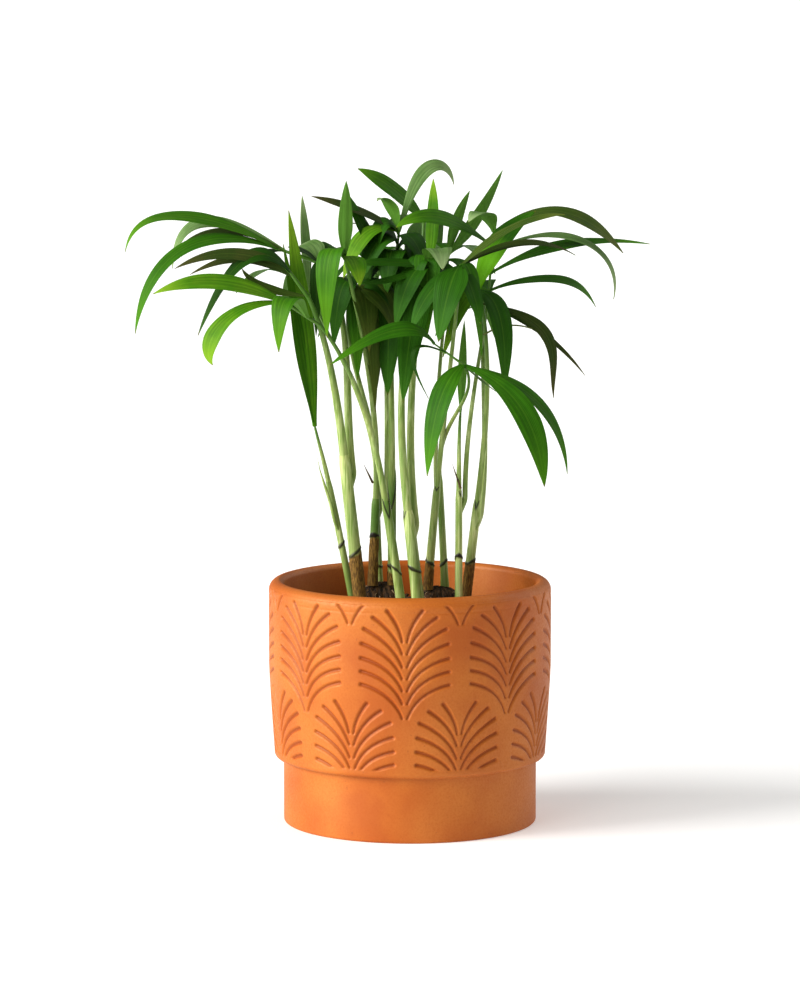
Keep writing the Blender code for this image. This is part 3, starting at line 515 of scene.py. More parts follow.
def tube_patch(line, radii, columns, values=None):
    """A round limb along a line of points: at each point a ring of that radius, square to the line. The radii
    are one for each point, or one for each point and column."""
    forward = np.gradient(line, axis=0)
    forward /= np.linalg.norm(forward, axis=1)[:, None]
    hint = [0.0, 1.0, 0.0] if abs(forward[:, 2]).mean() > 0.5 else [0.0, 0.0, 1.0]
    side = np.cross(forward, hint)
    side /= np.linalg.norm(side, axis=1)[:, None]
    upper = np.cross(side, forward)
    angle = np.linspace(0, 2 * math.pi, columns, endpoint=False)
    cosine, sine = np.cos(angle)[None, :, None], np.sin(angle)[None, :, None]
    ring = side[:, None] * cosine + upper[:, None] * sine
    points = line[:, None] + ring * np.asarray(radii, float).reshape(len(line), -1, 1)
    filled = {key: np.broadcast_to(np.reshape(value, (len(line), -1)), points.shape[:2])
              for key, value in (values or {}).items()}
    return closed_patch(points, values=filled)


def cane_values(count, **known):
    """The cane's values for a line of count points: those given, and 0 for the others."""
    return {key: np.zeros(count) + known.get(key, 0.0) for key in CANE_VALUES}


# Materials.

MIX_A, MIX_B, MIX_RESULT = 6, 7, 2


def feed(tree, made, inputs):
    """Sets a node's input sockets, by name or number, each to a value, to the colour of a hex code or to the
    output socket that feeds it."""
    for key, value in inputs.items():
        if isinstance(value, bpy.types.NodeSocket):
            tree.links.new(value, made.inputs[key])
        else:
            made.inputs[key].default_value = colour(value) if isinstance(value, str) else value


def node(tree, kind, inputs, output=0, **settings):
    """Adds one shader node with its settings and inputs, and returns its output of that name or number."""
    made = tree.nodes.new("ShaderNode" + kind)
    for key, value in settings.items():
        setattr(made, key, value)
    feed(tree, made, inputs)
    return made.outputs[output]


def blank(name, hex_code, constants):
    """A material with its node tree and its Principled shader, whose sockets get the constants."""
    made = bpy.data.materials.new(name)
    made.use_nodes = True
    made.diffuse_color = colour(hex_code)
    tree = made.node_tree
    shader = tree.nodes["Principled BSDF"]
    feed(tree, shader, {"Metallic": 0.0, **constants})
    return made, tree, shader


def paint(tree, ground, coats):
    """A ground colour with coats laid over it in turn. A coat is (pattern, low, high, most, colour): as the
    pattern goes from low to high, the share of the coat's colour that shows goes from 0 to most."""
    for pattern, low, high, most, over in coats:
        share = node(tree, "MapRange", {"Value": pattern, "From Min": low, "From Max": high, "To Max": most})
        ground = node(tree, "Mix", {0: share, MIX_A: ground, MIX_B: over}, MIX_RESULT, data_type="RGBA")
    return ground


def per_metre(millimetres):
    """A noise scale that gives features of that size on Object coordinates in metres."""
    return 1000 / millimetres


def fired_clay(name):
    """Unglazed fired earthenware, pressed in a mould: a dry, even orange-brown with soft cloudy patches and
    a fine sandy grain that breaks up its dull, warm sheen. Clay deep in the carving is painted darker, as
    painted shade in the grooves."""
    made, tree, shader = blank(name, "#b86025", {
        "IOR": 1.5, "Roughness": 0.5, "Specular IOR Level": 0.6, "Specular Tint": "#ffecd0"})
    place = node(tree, "TexCoord", {}, "Object")
    clouds, bloom, grain, specks = (
        node(tree, "TexNoise", {"Vector": place, "Scale": per_metre(size), "Detail": detail})
        for size, detail in ((26, 3.0), (58, 2.0), (0.9, 2.0), (1.5, 1.0)))
    carved = node(tree, "Attribute", {}, "Fac", attribute_name="carved")
    body = paint(tree, "#aa5512", [
        (clouds, 0.35, 0.68, 1.0, "#ba691f"),
        (bloom, 0.45, 0.7, 0.5, "#c27836"),
        (grain, 0.4, 0.75, 0.3, "#a34a0c"),
        (specks, 0.7, 0.77, 0.3, "#854018"),
        # painted shade: the deeper the carving, the darker the clay in its grooves
        (carved, 0.25, 1.0, 0.75, "#8a3a0c"),
    ])
    rough = node(tree, "MapRange", {
        "Value": grain, "From Min": 0.3, "From Max": 0.7, "To Min": 0.45, "To Max": 0.62})
    relief = node(tree, "Bump", {"Height": grain, "Strength": 0.12, "Distance": 0.0004})
    feed(tree, shader, {"Base Color": body, "Roughness": rough, "Normal": relief})
    return made


def potting_soil(name):
    """Damp peat and bark mix: near-black brown crumbs with paler woody flecks, and hardly any sheen."""
    made, tree, shader = blank(name, "#2b1f10", {"IOR": 1.4, "Roughness": 0.9})
    place = node(tree, "TexCoord", {}, "Object")
    crumbs = node(tree, "TexNoise", {"Vector": place, "Scale": per_metre(3.2), "Detail": 5.0})
    flecks = node(tree, "TexVoronoi", {"Vector": place, "Scale": per_metre(1.8)}, "Color")
    body = paint(tree, "#181006", [(crumbs, 0.35, 0.68, 1.0, "#432f16"), (flecks, 0.8, 0.95, 0.6, "#7a5a38")])
    relief = node(tree, "Bump", {"Height": crumbs, "Strength": 0.7, "Distance": 0.0008})
    feed(tree, shader, {"Base Color": body, "Normal": relief})
    return made


def root_bark(name, dark, light):
    """Dry fibrous husk and root skin: brown strands of uneven tone along the lump, with a dull surface."""
    made, tree, shader = blank(name, dark, {"IOR": 1.45, "Roughness": 0.8})
    place = node(tree, "TexCoord", {}, "Object")
    drawn = node(tree, "Mapping", {"Vector": place, "Scale": STRAND_STRETCH})
    strands = node(tree, "TexNoise", {"Vector": drawn, "Scale": per_metre(1.3), "Detail": 4.0})
    body = paint(tree, dark, [(strands, 0.36, 0.66, 1.0, light)])
    relief = node(tree, "Bump", {"Height": strands, "Strength": 0.8, "Distance": 0.0006})
    feed(tree, shader, {"Base Color": body, "Normal": relief})
    return made


def young_cane(name):
    """Smooth living cane skin with a waxy bloom: pale yellow-green with fine lengthwise streaks, deeper in
    patches and as `tone` nears 1, woody and brown in lengthwise strands where `woody` is 1, near black along
    the scars and sheath mouths where `scar` is 1, and leaf green where `rise` nears 1."""
    made, tree, shader = blank(name, "#93a85c", {"IOR": 1.45, "Roughness": 0.4, "Specular IOR Level": 0.35})
    place = node(tree, "TexCoord", {}, "Object")
    drawn, fibres = (node(tree, "Mapping", {"Vector": place, "Scale": stretch})
                     for stretch in (STREAK_STRETCH, STRAND_STRETCH))
    streaks, bands, patches, strands = (
        node(tree, "TexNoise", {"Vector": where, "Scale": per_metre(size), "Detail": detail})
        for where, size, detail in (
            (drawn, 0.7, 3.0), (drawn, 2.6, 1.0), (place, 11, 2.0), (fibres, 0.45, 4.0)))
    woody, scar, rise, tone = (node(tree, "Attribute", {}, "Fac", attribute_name=key) for key in CANE_VALUES)
    wood = paint(tree, "#573e18", [
        (strands, 0.36, 0.66, 1.0, "#9d7a38"),
        (patches, 0.4, 0.7, 0.6, "#5c401a"),
    ])
    body = paint(tree, "#8fa552", [
        (streaks, 0.38, 0.62, 1.0, "#cdd696"),
        (bands, 0.42, 0.66, 0.65, "#6c8436"),
        (patches, 0.45, 0.72, 0.5, "#bcbe78"),
        (tone, 0.0, 1.0, 0.9, "#4c7322"),
        (rise, 0.0, 1.0, 1.0, "#3c6a14"),
        (woody, 0.0, 1.0, 1.0, wood),
        (scar, 0.0, 1.0, 1.0, "#1f160a"),
    ])
    rough = node(tree, "MapRange", {"Value": woody, "To Min": 0.38, "To Max": 0.78})
    relief = node(tree, "Bump", {"Height": strands, "Strength": 0.3, "Distance": 0.0002})
    feed(tree, shader, {"Base Color": body, "Roughness": rough, "Normal": relief})
    return made


def leaf_veins(tree):
    """The leaf pattern's sockets: the place across and along the blade, fine veins from -1 to 1 that run from
    base to tip, and longer streaks from 0 to 1. U runs across the blade and V along it."""
    surface = node(tree, "UVMap", {}, uv_map="surface")
    across, along, _ = node(tree, "SeparateXYZ", {0: surface}).node.outputs
    turns = node(tree, "Math", {0: across, 1: VEINS_DRAWN * 2 * math.pi}, operation="MULTIPLY")
    veins = node(tree, "Math", {0: turns}, operation="SINE")
    drawn = node(tree, "Mapping", {"Vector": surface, "Scale": LEAF_STREAKS})
    streaks = node(tree, "TexNoise", {"Vector": drawn, "Scale": 1.0, "Detail": 3.0})
    return across, along, veins, streaks


def palm_leaf(name, blade, tip, roughness, foot=None):
    """A living palm leaflet: waxy and a little glossy, with close parallel veins and longer streaks from base
    to tip, a faint paler midrib and a tip that turns yellow-green. A foot colour shows on young blades that
    are still light near their base."""
    made, tree, shader = blank(name, blade, {"IOR": 1.42, "Roughness": roughness, "Specular IOR Level": 0.11})
    across, along, veins, streaks = leaf_veins(tree)
    place = node(tree, "TexCoord", {}, "Object")
    cloud = node(tree, "TexNoise", {"Vector": place, "Scale": per_metre(9), "Detail": 2.0})
    off_middle = node(tree, "Math", {0: across, 1: 0.5}, operation="SUBTRACT")
    off_middle = node(tree, "Math", {0: off_middle}, operation="ABSOLUTE")
    young = [(along, 0.6, 0.3, 1.0, foot)] if foot else []
    body = paint(tree, blade, [
        (cloud, 0.35, 0.7, 0.3, tip),
        (streaks, 0.4, 0.68, 0.5, "#1b3a08"),
        (veins, -1.0, 1.0, 0.16, "#183306"),
        (off_middle, 0.03, 0.0, 0.13, "#86a83c"),
        *young,
        (along, 0.7, 1.0, 0.8, tip),
        (along, 0.975, 1.0, 0.8, "#6b5a2c"),
    ])
    relief = node(tree, "Bump", {"Height": veins, "Strength": 0.22, "Distance": 0.00012})
    feed(tree, shader, {"Base Color": body, "Normal": relief})
    return made


def leaf_underside(name, blade):
    """The leaflet's lower face: paler and duller than the upper one, with the same veins in relief."""
    made, tree, shader = blank(name, blade, {"IOR": 1.42, "Roughness": 0.55, "Specular IOR Level": 0.15})
    _, _, veins, streaks = leaf_veins(tree)
    body = paint(tree, blade, [(streaks, 0.35, 0.7, 0.5, "#3c6a14"), (veins, -1.0, 1.0, 0.2, "#2f5414")])
    relief = node(tree, "Bump", {"Height": veins, "Strength": 0.3, "Distance": 0.00012})
    feed(tree, shader, {"Base Color": body, "Normal": relief})
    return made


def light_table(name):
    """A matt white studio light table, with the faintest cloudiness: it glows a little, so that shadows on it
    stay pale."""
    made, tree, shader = blank(name, "#f4f3f1", {
        "IOR": 1.45, "Roughness": 0.9, "Emission Color": (1.0, 1.0, 1.0, 1.0), "Emission Strength": 0.22})
    place = node(tree, "TexCoord", {}, "Object")
    cloud = node(tree, "TexNoise", {"Vector": place, "Scale": per_metre(900), "Detail": 2.0})
    feed(tree, shader, {"Base Color": paint(tree, "#f1f0ee", [(cloud, 0.0, 1.0, 1.0, "#f7f6f4")])})
    return made


# The pot.

def collar_radius(height):
    """The collar's outer radius: full from COLLAR_FULL_HEIGHT up, and below it drawn in as depth^1.15."""
    fall = np.clip((COLLAR_FULL_HEIGHT - height) / (COLLAR_FULL_HEIGHT - FOOT_HEIGHT - 2), 0, 1)
    return COLLAR_RADIUS - (COLLAR_RADIUS - COLLAR_LOW_RADIUS) * fall ** 1.15


def wall_radius(height):
    """The collar's outer radius with the lip's rounding above it."""
    above = np.clip(height - (POT_HEIGHT - LIP_OUTER_ROUND), 0, None)
    return collar_radius(height) - LIP_OUTER_ROUND + np.sqrt(LIP_OUTER_ROUND ** 2 - above ** 2)


def arc(centre, radius, start, end, steps):
    """Points of an arc from the angle start to the angle end, in degrees."""
    angle = np.radians(np.linspace(start, end, steps))
    return np.stack([centre[0] + radius * np.cos(angle), centre[1] + radius * np.sin(angle)], -1)


def groove_depth(across, up, grooves):
    """The depth in mm of a fan's grooves, at places across >= 0 from its midline and up from its foot. Each
    groove follows a quadratic curve and widens from its root to its round outer end. Its two walls fall to
    its middle: the depth is (1 - d / w)^0.85 of the full one at the distance d from there."""
    depth = np.zeros_like(across)
    for groove in grooves:
        t = np.linspace(0, 1, GROOVE_STEPS)[:, None]
        line = bow(t, *(np.array(point) for point in groove))
        for share, start, stop in zip(t[:-1, 0], line[:-1], line[1:]):
            step = stop - start
            along = ((across - start[0]) * step[0] + (up - start[1]) * step[1]) / (step @ step)
            along = np.clip(along, 0, 1)
            away = np.hypot(across - start[0] - along * step[0], up - start[1] - along * step[1])
            place = share + along / len(t)
            width = GROOVE_INNER_WIDTH + (GROOVE_OUTER_WIDTH - GROOVE_INNER_WIDTH) * place ** 0.7
            section = np.clip(1 - away / (width / 2 + 0.3), 0, 1) ** 0.85
            depth = np.maximum(depth, GROOVE_DEPTH * (0.9 + 0.35 * place) * section)
    return depth


def carving(angle, height):
    """The carved band's depth at an angle in degrees and a height: three rows of fans, half a fan apart, and
    of the uppermost only the lowest groove, which the rim cuts off. Under the lip runs a faint crease of
    CREASE_DEPTH exp(-(h / 0.4)^2), at the height h above it. Depth fades out at the band's edges."""
    period = 360 / FANS_ROUND
    depth = np.zeros(np.broadcast(angle, height).shape)
    for row in (-1, 0, 1):
        turned = angle - FAN_TURN - row * period / 2
        across = np.radians(np.abs((turned + period / 2) % period - period / 2)) * FAN_RADIUS
        grooves = FAN_GROOVES[-1:] if row == 1 else FAN_GROOVES
        depth = np.maximum(depth, groove_depth(across, height - FAN_FOOT - row * ROW_STEP, grooves))
    edges = smooth((height - BAND_BOTTOM - 0.3) / 0.8) * smooth((BAND_TOP - 0.2 - height) / 0.7)
    crease = CREASE_DEPTH * np.exp(-((height - LIP_CREASE) / 0.4) ** 2)
    return np.maximum(depth, crease) * edges


def round_the_pot(radius, angle, height):
    """Points from a radius, an angle in degrees from the front and a height. The front faces -Y."""
    turn = np.radians(angle)
    return np.stack(np.broadcast_arrays(radius * np.sin(turn), -radius * np.cos(turn), height), -1)


def make_collar(clay):
    """The carved band: closed slabs, one a quarter, whose outer face is sunk by the carving's depth. Their
    seams run up the plain rib in the middle of a lower fan, where no groove crosses."""
    quarter = 360 / CARVED_QUARTERS
    columns = int(2 * math.pi * COLLAR_RADIUS / CARVED_QUARTERS / CARVING_STEP)
    rows = int((BAND_TOP - BAND_BOTTOM) / CARVING_STEP)
    height = np.linspace(BAND_BOTTOM, BAND_TOP, rows)[None, :]
    sweep = np.linspace(0, quarter, columns)[:, None]
    first = FAN_TURN + 180 / FANS_ROUND
    depth = carving(first + sweep, height)
    for number in range(CARVED_QUARTERS):
        angle = first + sweep + number * quarter
        outer = round_the_pot(wall_radius(height) - depth, angle, height)
        back_heights = np.array([[BAND_TOP, COLLAR_FULL_HEIGHT, BAND_BOTTOM]])
        back = round_the_pot(collar_radius(back_heights) - BAND_DEPTH, angle, back_heights)
        # the carving's depth as a share of the full one, which the clay's material also turns into painted
        # shade in the grooves
        carved = np.concatenate([depth / GROOVE_DEPTH, np.zeros((columns, 3))], axis=1)
        slab = closed_patch(np.concatenate([outer, back], axis=1), values={"carved": carved})
        made = piece(f"collar_carving_{number + 1}", [slab], [clay], 75)
        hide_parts("pot")


def make_pot_body(clay):
    """The rest of the pot, turned from one profile: well, wall, rounded lip, a seat behind the carved band,
    the collar's lower roll, the undercut and the foot."""
    lip_in = arc((MOUTH_RADIUS + LIP_INNER_ROUND, POT_HEIGHT - LIP_INNER_ROUND), LIP_INNER_ROUND, 180, 90, 12)
    band_meets = math.degrees(math.asin((BAND_TOP - POT_HEIGHT + LIP_OUTER_ROUND) / LIP_OUTER_ROUND))
    lip_out = arc((COLLAR_RADIUS - LIP_OUTER_ROUND, POT_HEIGHT - LIP_OUTER_ROUND), LIP_OUTER_ROUND,
                  90, band_meets, 16)
    seat = np.array([BAND_TOP, COLLAR_FULL_HEIGHT, BAND_BOTTOM])
    roll = arc((collar_radius(BAND_BOTTOM) - ROLL_ROUND, FOOT_HEIGHT + ROLL_ROUND), ROLL_ROUND, 0, -90, 10)
    corner = FOOT_RADIUS + CORNER_ROUND
    profile = np.concatenate([
        [(HUB_RADIUS, FLOOR_THICKNESS), (WELL_RADIUS - WELL_ROUND, FLOOR_THICKNESS)],
        arc((WELL_RADIUS - WELL_ROUND, FLOOR_THICKNESS + WELL_ROUND), WELL_ROUND, -90, 0, 8),
        [(WELL_RADIUS, STEP_LOW), (STEP_RADIUS, STEP_HIGH), INNER_WALL],
        lip_in, lip_out,
        np.stack([collar_radius(seat) - BAND_DEPTH, seat], -1),
        [(collar_radius(BAND_BOTTOM), BAND_BOTTOM)],
        roll,
        [(corner, FOOT_HEIGHT)],
        arc((corner, FOOT_HEIGHT - CORNER_ROUND), CORNER_ROUND, 90, 180, 5),
        # two more rows divide the foot's plain wall
        [(FOOT_RADIUS, 20), (FOOT_RADIUS, 10)],
        arc((FOOT_RADIUS - FOOT_ROUND, FOOT_ROUND), FOOT_ROUND, 0, -90, 7),
        [(HUB_RADIUS, 0)],
    ])
    angle = np.linspace(0, 360, POT_COLUMNS, endpoint=False)[None, :]
    uncarved = np.zeros((len(profile), POT_COLUMNS))
    skin = closed_patch(round_the_pot(profile[:, :1], angle, profile[:, 1:]), values={"carved": uncarved})
    made = piece("pot_body", [skin], [clay], 50)
    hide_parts("pot")


# The soil and what stands out of it.

def soil_height(radius):
    """The dome's height: flat as far as SOIL_PLATEAU, then falling to the pot's wall."""
    fall = np.clip((radius - SOIL_PLATEAU) / (SOIL_RIM - SOIL_PLATEAU), 0, 1)
    return SOIL_TOP + (SOIL_EDGE - SOIL_TOP) * fall


def crumb_patch(middle, radii, draw):
    """A crumb: a ball of few faces whose radius is scaled by 1 + 0.3 times random relief."""
    rows, columns = 5, 8
    fall = np.linspace(0.25, math.pi - 0.25, rows)[:, None]
    turn = np.linspace(0, 2 * math.pi, columns, endpoint=False)[None, :]
    way = np.stack(np.broadcast_arrays(np.sin(fall) * np.cos(turn), np.sin(fall) * np.sin(turn),
                                       np.cos(fall)), -1)
    return closed_patch(middle + way * radii * (1 + 0.3 * draw.uniform(-1, 1, (rows, columns, 1))))


def make_soil(earth):
    """A crumbly dome over the CAD's profile: its height plus lumps of three sizes, and loose crumbs."""
    well, floor = WELL_RADIUS - SOIL_CLEAR, FLOOR_THICKNESS + GAP
    out = np.linspace(0.8, SOIL_RIM, SOIL_ROWS)
    profile = np.concatenate([
        np.stack([out, soil_height(out)], -1),
        [(STEP_RADIUS - SOIL_CLEAR, STEP_HIGH + SOIL_CLEAR), (well, STEP_LOW + SOIL_CLEAR),
         (well, FLOOR_THICKNESS + WELL_ROUND + SOIL_CLEAR), (well - WELL_ROUND, floor), (HUB_RADIUS, floor)],
    ])
    angle = np.linspace(0, 360, SOIL_COLUMNS, endpoint=False)[None, :]
    skin = round_the_pot(profile[:, :1], angle, profile[:, 1:])
    top = skin[:SOIL_ROWS]
    top[..., 2] += 1.1 * lumps(top, 6.5, 3) + 0.55 * lumps(top, 2.2, 4) + 0.3 * lumps(top, 1.1, 5) - 0.4
    made = piece("soil_bed", [closed_patch(skin)], [earth])
    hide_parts("soil")

    draw = np.random.default_rng(11)
    places = zip(CRUMBS_REACH * np.sqrt(draw.random(CRUMBS)), draw.uniform(0, 360, CRUMBS),
                 draw.uniform(0.5, 1.7, CRUMBS))
    crumbs = []
    for radius, angle, size in places:
        middle = round_the_pot(radius, angle, soil_height(radius) + size * 0.35)
        crumbs.append(crumb_patch(middle, size * np.array([1, draw.uniform(0.6, 1), 0.8]), draw))
    piece("soil_crumbs", crumbs, [earth], 80)


def make_crown(name, crown, husk):
    """A root crown: an oval dome whose radius goes as sin^0.8 and whose height as cos^0.75 of the fall from
    its top, with a few knobs round it. Its relief is lumps of two sizes and 19 wavering ribs of fibre."""
    turn = np.linspace(0, 2 * math.pi, CROWN_COLUMNS, endpoint=False)[None, :]
    fall = np.linspace(0.04, 1, CROWN_ROWS)[:, None] * math.pi / 2
    knobs = 1 + 0.09 * np.sin(3 * turn + crown.width) + 0.05 * np.sin(5 * turn)
    out = np.sin(fall) ** 0.8 * knobs * crown.width
    high = np.cos(fall) ** 0.75 * (crown.height + CROWN_SINK + 0.1)
    points = np.stack(np.broadcast_arrays(
        crown.middle[0] + np.cos(turn) * out / 2,
        crown.middle[1] + np.sin(turn) * out * CROWN_DEPTH,
        SOIL_TOP - CROWN_SINK + high), -1)
    away = points - np.array([*crown.middle, SOIL_TOP])
    away /= np.linalg.norm(away, axis=-1, keepdims=True)
    ribs = np.sin(turn * 19 + 2 * lumps(points, 6, 22))
    relief = 0.5 * lumps(points, 4, 21) + 0.25 * lumps(points, 1.4, 23) + 0.3 * ribs - 0.45
    points = points + away * relief[..., None]
    made = piece("husk_" + name.split("_")[-1], [closed_patch(points)], [husk])
    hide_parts(name)


# Stems, petioles and leaflets.

# What each stem's skin shows: brown and woody up to a height, ring scars (height, tilt, heading of the high
# side), open sheath mouths (lowest height, rise at a quarter turn, heading of the lowest point), and how far
# its green is from pale (0) to deep (1). The wood's upper edge is as tilted as the first ring.
Skin = namedtuple("Skin", "woody rings mouths tone")
STEM_SKINS = {
    "stem_01": Skin(98, [(123, 1.0, 0)], [], 0.45),
    "stem_02": Skin(120.5, [(121, 1.7, 10)], [], 0.15),
    "stem_03": Skin(125.6, [(126, 1.0, 270)], [(145, 8, 240)], 0.8),
    "stem_04": Skin(100, [(111.5, 0.6, 180)], [], 0.3),
    "stem_05": Skin(110, [(112, 0.9, 180)], [(139, 12, 262)], 0.6),
    "stem_06": Skin(90, [(113.5, 2.2, 180)], [(136.6, 13, 285)], 0.3),
    "stem_07": Skin(90, [(114, 1.7, 180)], [(137, 12, 215), (147, 9, 290)], 0.3),
    "stem_08": Skin(114.2, [(114.6, 1.2, 200)], [(147.4, 5, 265)], 0.15),
    "stem_09": Skin(90, [(114, 1.3, 0)], [], 0.45),
    "stem_10": Skin(90, [(118, 1.5, 270)], [(146, 10, 300)], 0.1),
    "stem_11": Skin(115, [(115.5, 1.0, 0)], [(139.5, 12, 255)], 0.25),
}
SCAR_HALF_WIDTH, MOUTH_HALF_WIDTH = 0.9, 0.42
RING_HEIGHT, SHEATH_THICKNESS = 0.28, 0.2
SHEATH_TIP_WIDTHS = {"sheath_tip_left": 1.7, "sheath_tip_right": 1.1}
STEM_ROWS, STEM_COLUMNS = 200, 56
PETIOLE_WIDTH = 0.78
PETIOLE_ROWS, PETIOLE_COLUMNS = 46, 14
HIDDEN_ROWS, RACHIS_ROWS = 6, 6

# A blade's cross-section: how far its edges lift as a share of its half-width, and in mm the height of its
# lengthwise pleats, its thickness at the tip, what is added to that at the base, and the midrib's height.
LEAF_FOLD = 0.16
PLEAT_HEIGHT = 0.045
TIP_THICKNESS, BASE_THICKENING = 0.26, 0.75
MIDRIB_HEIGHT = 0.3
LEAF_ROWS, LEAF_HALF_COLUMNS = 36, 9


def foot_height(stem):
    """The height of the ground under a stem: the soil, or the flat top of a root crown."""
    for crown in ROOT_CROWNS.values():
        across = (stem.foot[0] - crown.middle[0]) / (crown.width * 0.5)
        deep = (stem.foot[1] - crown.middle[1]) / (crown.width * CROWN_DEPTH)
        if math.hypot(across, deep) < 0.75:
            return SOIL_TOP + GAP + crown.height + GAP
    return SOIL_TOP + GAP


def stem_line(stem, count):
    """Points along a stem from foot to top: straight but for a slight bow near the foot."""
    foot = np.array([*stem.foot, foot_height(stem)], float)
    top = np.array(stem.top, float)
    knee = foot + (top - foot) * 0.4 + np.array([0, 0, 2.0])
    return bow(np.linspace(0, 1, count)[:, None], foot, knee, top)


def stem_skin(line, radii, skin):
    """The skin's radius and its woody, scar and inner shares at each row and column. A ring is a narrow
    ridge, darkest on its high side and uneven in width. A mouth is a dark line at the height
    low + rise a^1.2, with a measured in quarter turns from its lowest point, and above it the stem is a
    sheath's thickness thinner."""
    turn = 180 - np.linspace(0, 360, STEM_COLUMNS, endpoint=False)[None, :]
    height = line[:, 2:]
    quarter = radii.mean() * math.pi / 2
    radii = np.broadcast_to(radii[:, None], (len(line), STEM_COLUMNS)).copy()
    wobble = lumps(np.stack(np.broadcast_arrays(turn / 28, height, line[0, 0]), -1), 1.5, 8)
    patchy = lumps(np.stack(np.broadcast_arrays(turn / 30, height, 3.0), -1), 1.9, 9)
    strands = lumps(np.stack(np.broadcast_arrays(turn / 16, height / 3, 0.0), -1), 1.3, 7)
    scar, inner = np.zeros_like(radii), np.zeros_like(radii)
    _, tilt, facing = skin.rings[0]
    edge = skin.woody + 0.5 + tilt * np.cos(np.radians(turn - facing)) + 1.3 * patchy
    woody = smooth((edge - height) / 1.8)
    for high, tilt, facing in skin.rings:
        side = np.cos(np.radians(turn - facing))
        off = height - high - side * tilt + 0.5 * wobble
        faded = np.exp(-(off / (SCAR_HALF_WIDTH * (1 + 0.5 * patchy))) ** 4)
        scar = np.maximum(scar, (0.92 + 0.08 * side) * faded)
        radii += RING_HEIGHT * np.exp(-(off / 0.6) ** 2)
    for low, rise, facing in skin.mouths:
        away = np.abs((turn - facing + 180) % 360 - 180) / 90
        off = height - low - rise * away ** 1.2
        slope = 1.2 * rise * away ** 0.2 / quarter
        near = np.exp(-(off / np.sqrt(1 + slope ** 2) / MOUTH_HALF_WIDTH) ** 2)
        above = smooth(off / 0.6)
        scar = np.maximum(scar, near * smooth((1.4 - away) / 0.4))
        radii -= SHEATH_THICKNESS * above * smooth((1.6 - away) / 0.4)
        inner = np.maximum(inner, above * smooth((1.2 - away) / 0.3) * smooth((14 - off) / 10))
    radii += woody * (0.12 + 0.16 * strands)
    return radii, woody, scar, inner


def make_stem(name, stem, cane):
    """A stem's cane: the CAD's tapering line, with ring scars, sheath mouths and a woody foot."""
    line = stem_line(stem, STEM_ROWS)
    share = np.linspace(0, 1, STEM_ROWS)
    width = stem.foot_width + (stem.top_width - stem.foot_width) * share + 0.5 * np.exp(-share * 14)
    width *= 1 - 0.16 * smooth((share - 0.93) / 0.07)
    # the foot goes down into the crumbs
    line[0, 2] -= 1.5
    radii, woody, scar, inner = stem_skin(line, width / 2, STEM_SKINS[name])
    tone = STEM_SKINS[name].tone + 0.25 * np.sin(share * 7 + stem.foot[0])[:, None] + 0.5 * inner
    values = {"woody": woody, "scar": scar, "rise": 0.06 * share, "tone": np.clip(tone, 0, 1)}
    skin = tube_patch(line, radii, STEM_COLUMNS, values)
    made = piece(name.replace("stem", "cane"), [skin], [cane])
    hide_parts(name)


def rachis(frond):
    """The rachis as one vector, from the frond's head to its far end."""
    heading, out, up = frond.rachis
    return compass(heading) * out + np.array([0, 0, up])


def petiole_line(frond):
    """Points from inside the stem to the head of a frond, then along its rachis, with the widths there and
    the share of the way. The rise is a cubic curve that leaves along the stem and arrives along the
    rachis."""
    stem = STEMS[frond.stem]
    line = stem_line(stem, 21)
    place_on = min(frond.joins, 1.0) * 20
    low = int(min(place_on, 19))
    axis = line[low] + (line[low + 1] - line[low]) * (place_on - low)
    along = unit(line[low + 1] - line[low])
    width = PETIOLE_WIDTH * stem.top_width
    on_tip = frond.joins >= 1.0
    if on_tip:
        start = axis + along * (GAP + 0.1)
    else:
        start = axis + compass(frond.side) * ((stem.foot_width + width) / 2 + GAP)
    head = np.array(frond.head, float)
    spine = rachis(frond)
    reach = np.linalg.norm(head - start)
    arrive = unit(unit(head - start) + unit(spine))
    first = start + along * reach * 0.38
    second = head - arrive * reach * 0.28
    t = np.linspace(0, 1, PETIOLE_ROWS)[:, None]
    rise = ((1 - t) ** 3 * start + 3 * t * (1 - t) ** 2 * first
            + 3 * t ** 2 * (1 - t) * second + t ** 3 * head)
    hidden = axis - along * (3 if on_tip else 9)
    upward = along * ((start - hidden) @ along)
    s = np.linspace(0, 1, HIDDEN_ROWS, endpoint=False)[:, None]
    leaving = hidden + upward * s + (start - hidden - upward) * smooth(s)
    tail = head + (spine + unit(spine) * 1.2) * np.linspace(0, 1, RACHIS_ROWS + 1)[1:, None]
    widths = width * np.concatenate([
        np.ones(HIDDEN_ROWS), np.linspace(1, 0.5, PETIOLE_ROWS), np.linspace(0.48, 0.3, RACHIS_ROWS)])
    share = np.concatenate([np.zeros(HIDDEN_ROWS), t[:, 0], np.ones(RACHIS_ROWS)])
    return np.vstack([leaving, rise, tail]), widths, share


def leaf_outline(t, widest):
    """Half-width of a leaflet as a share of its greatest, at the share t of its length: it swells from a
    narrow base to its widest place and tapers to a fine point."""
    swell = 0.22 + 0.78 * np.sin(np.clip(t / widest, 0, 1) * math.pi / 2) ** 1.3
    taper = np.cos(np.clip((t - widest) / (1 - widest), 0, 1) * math.pi / 2) ** 0.8
    return np.where(t < widest, swell, np.maximum(taper, 0.03))


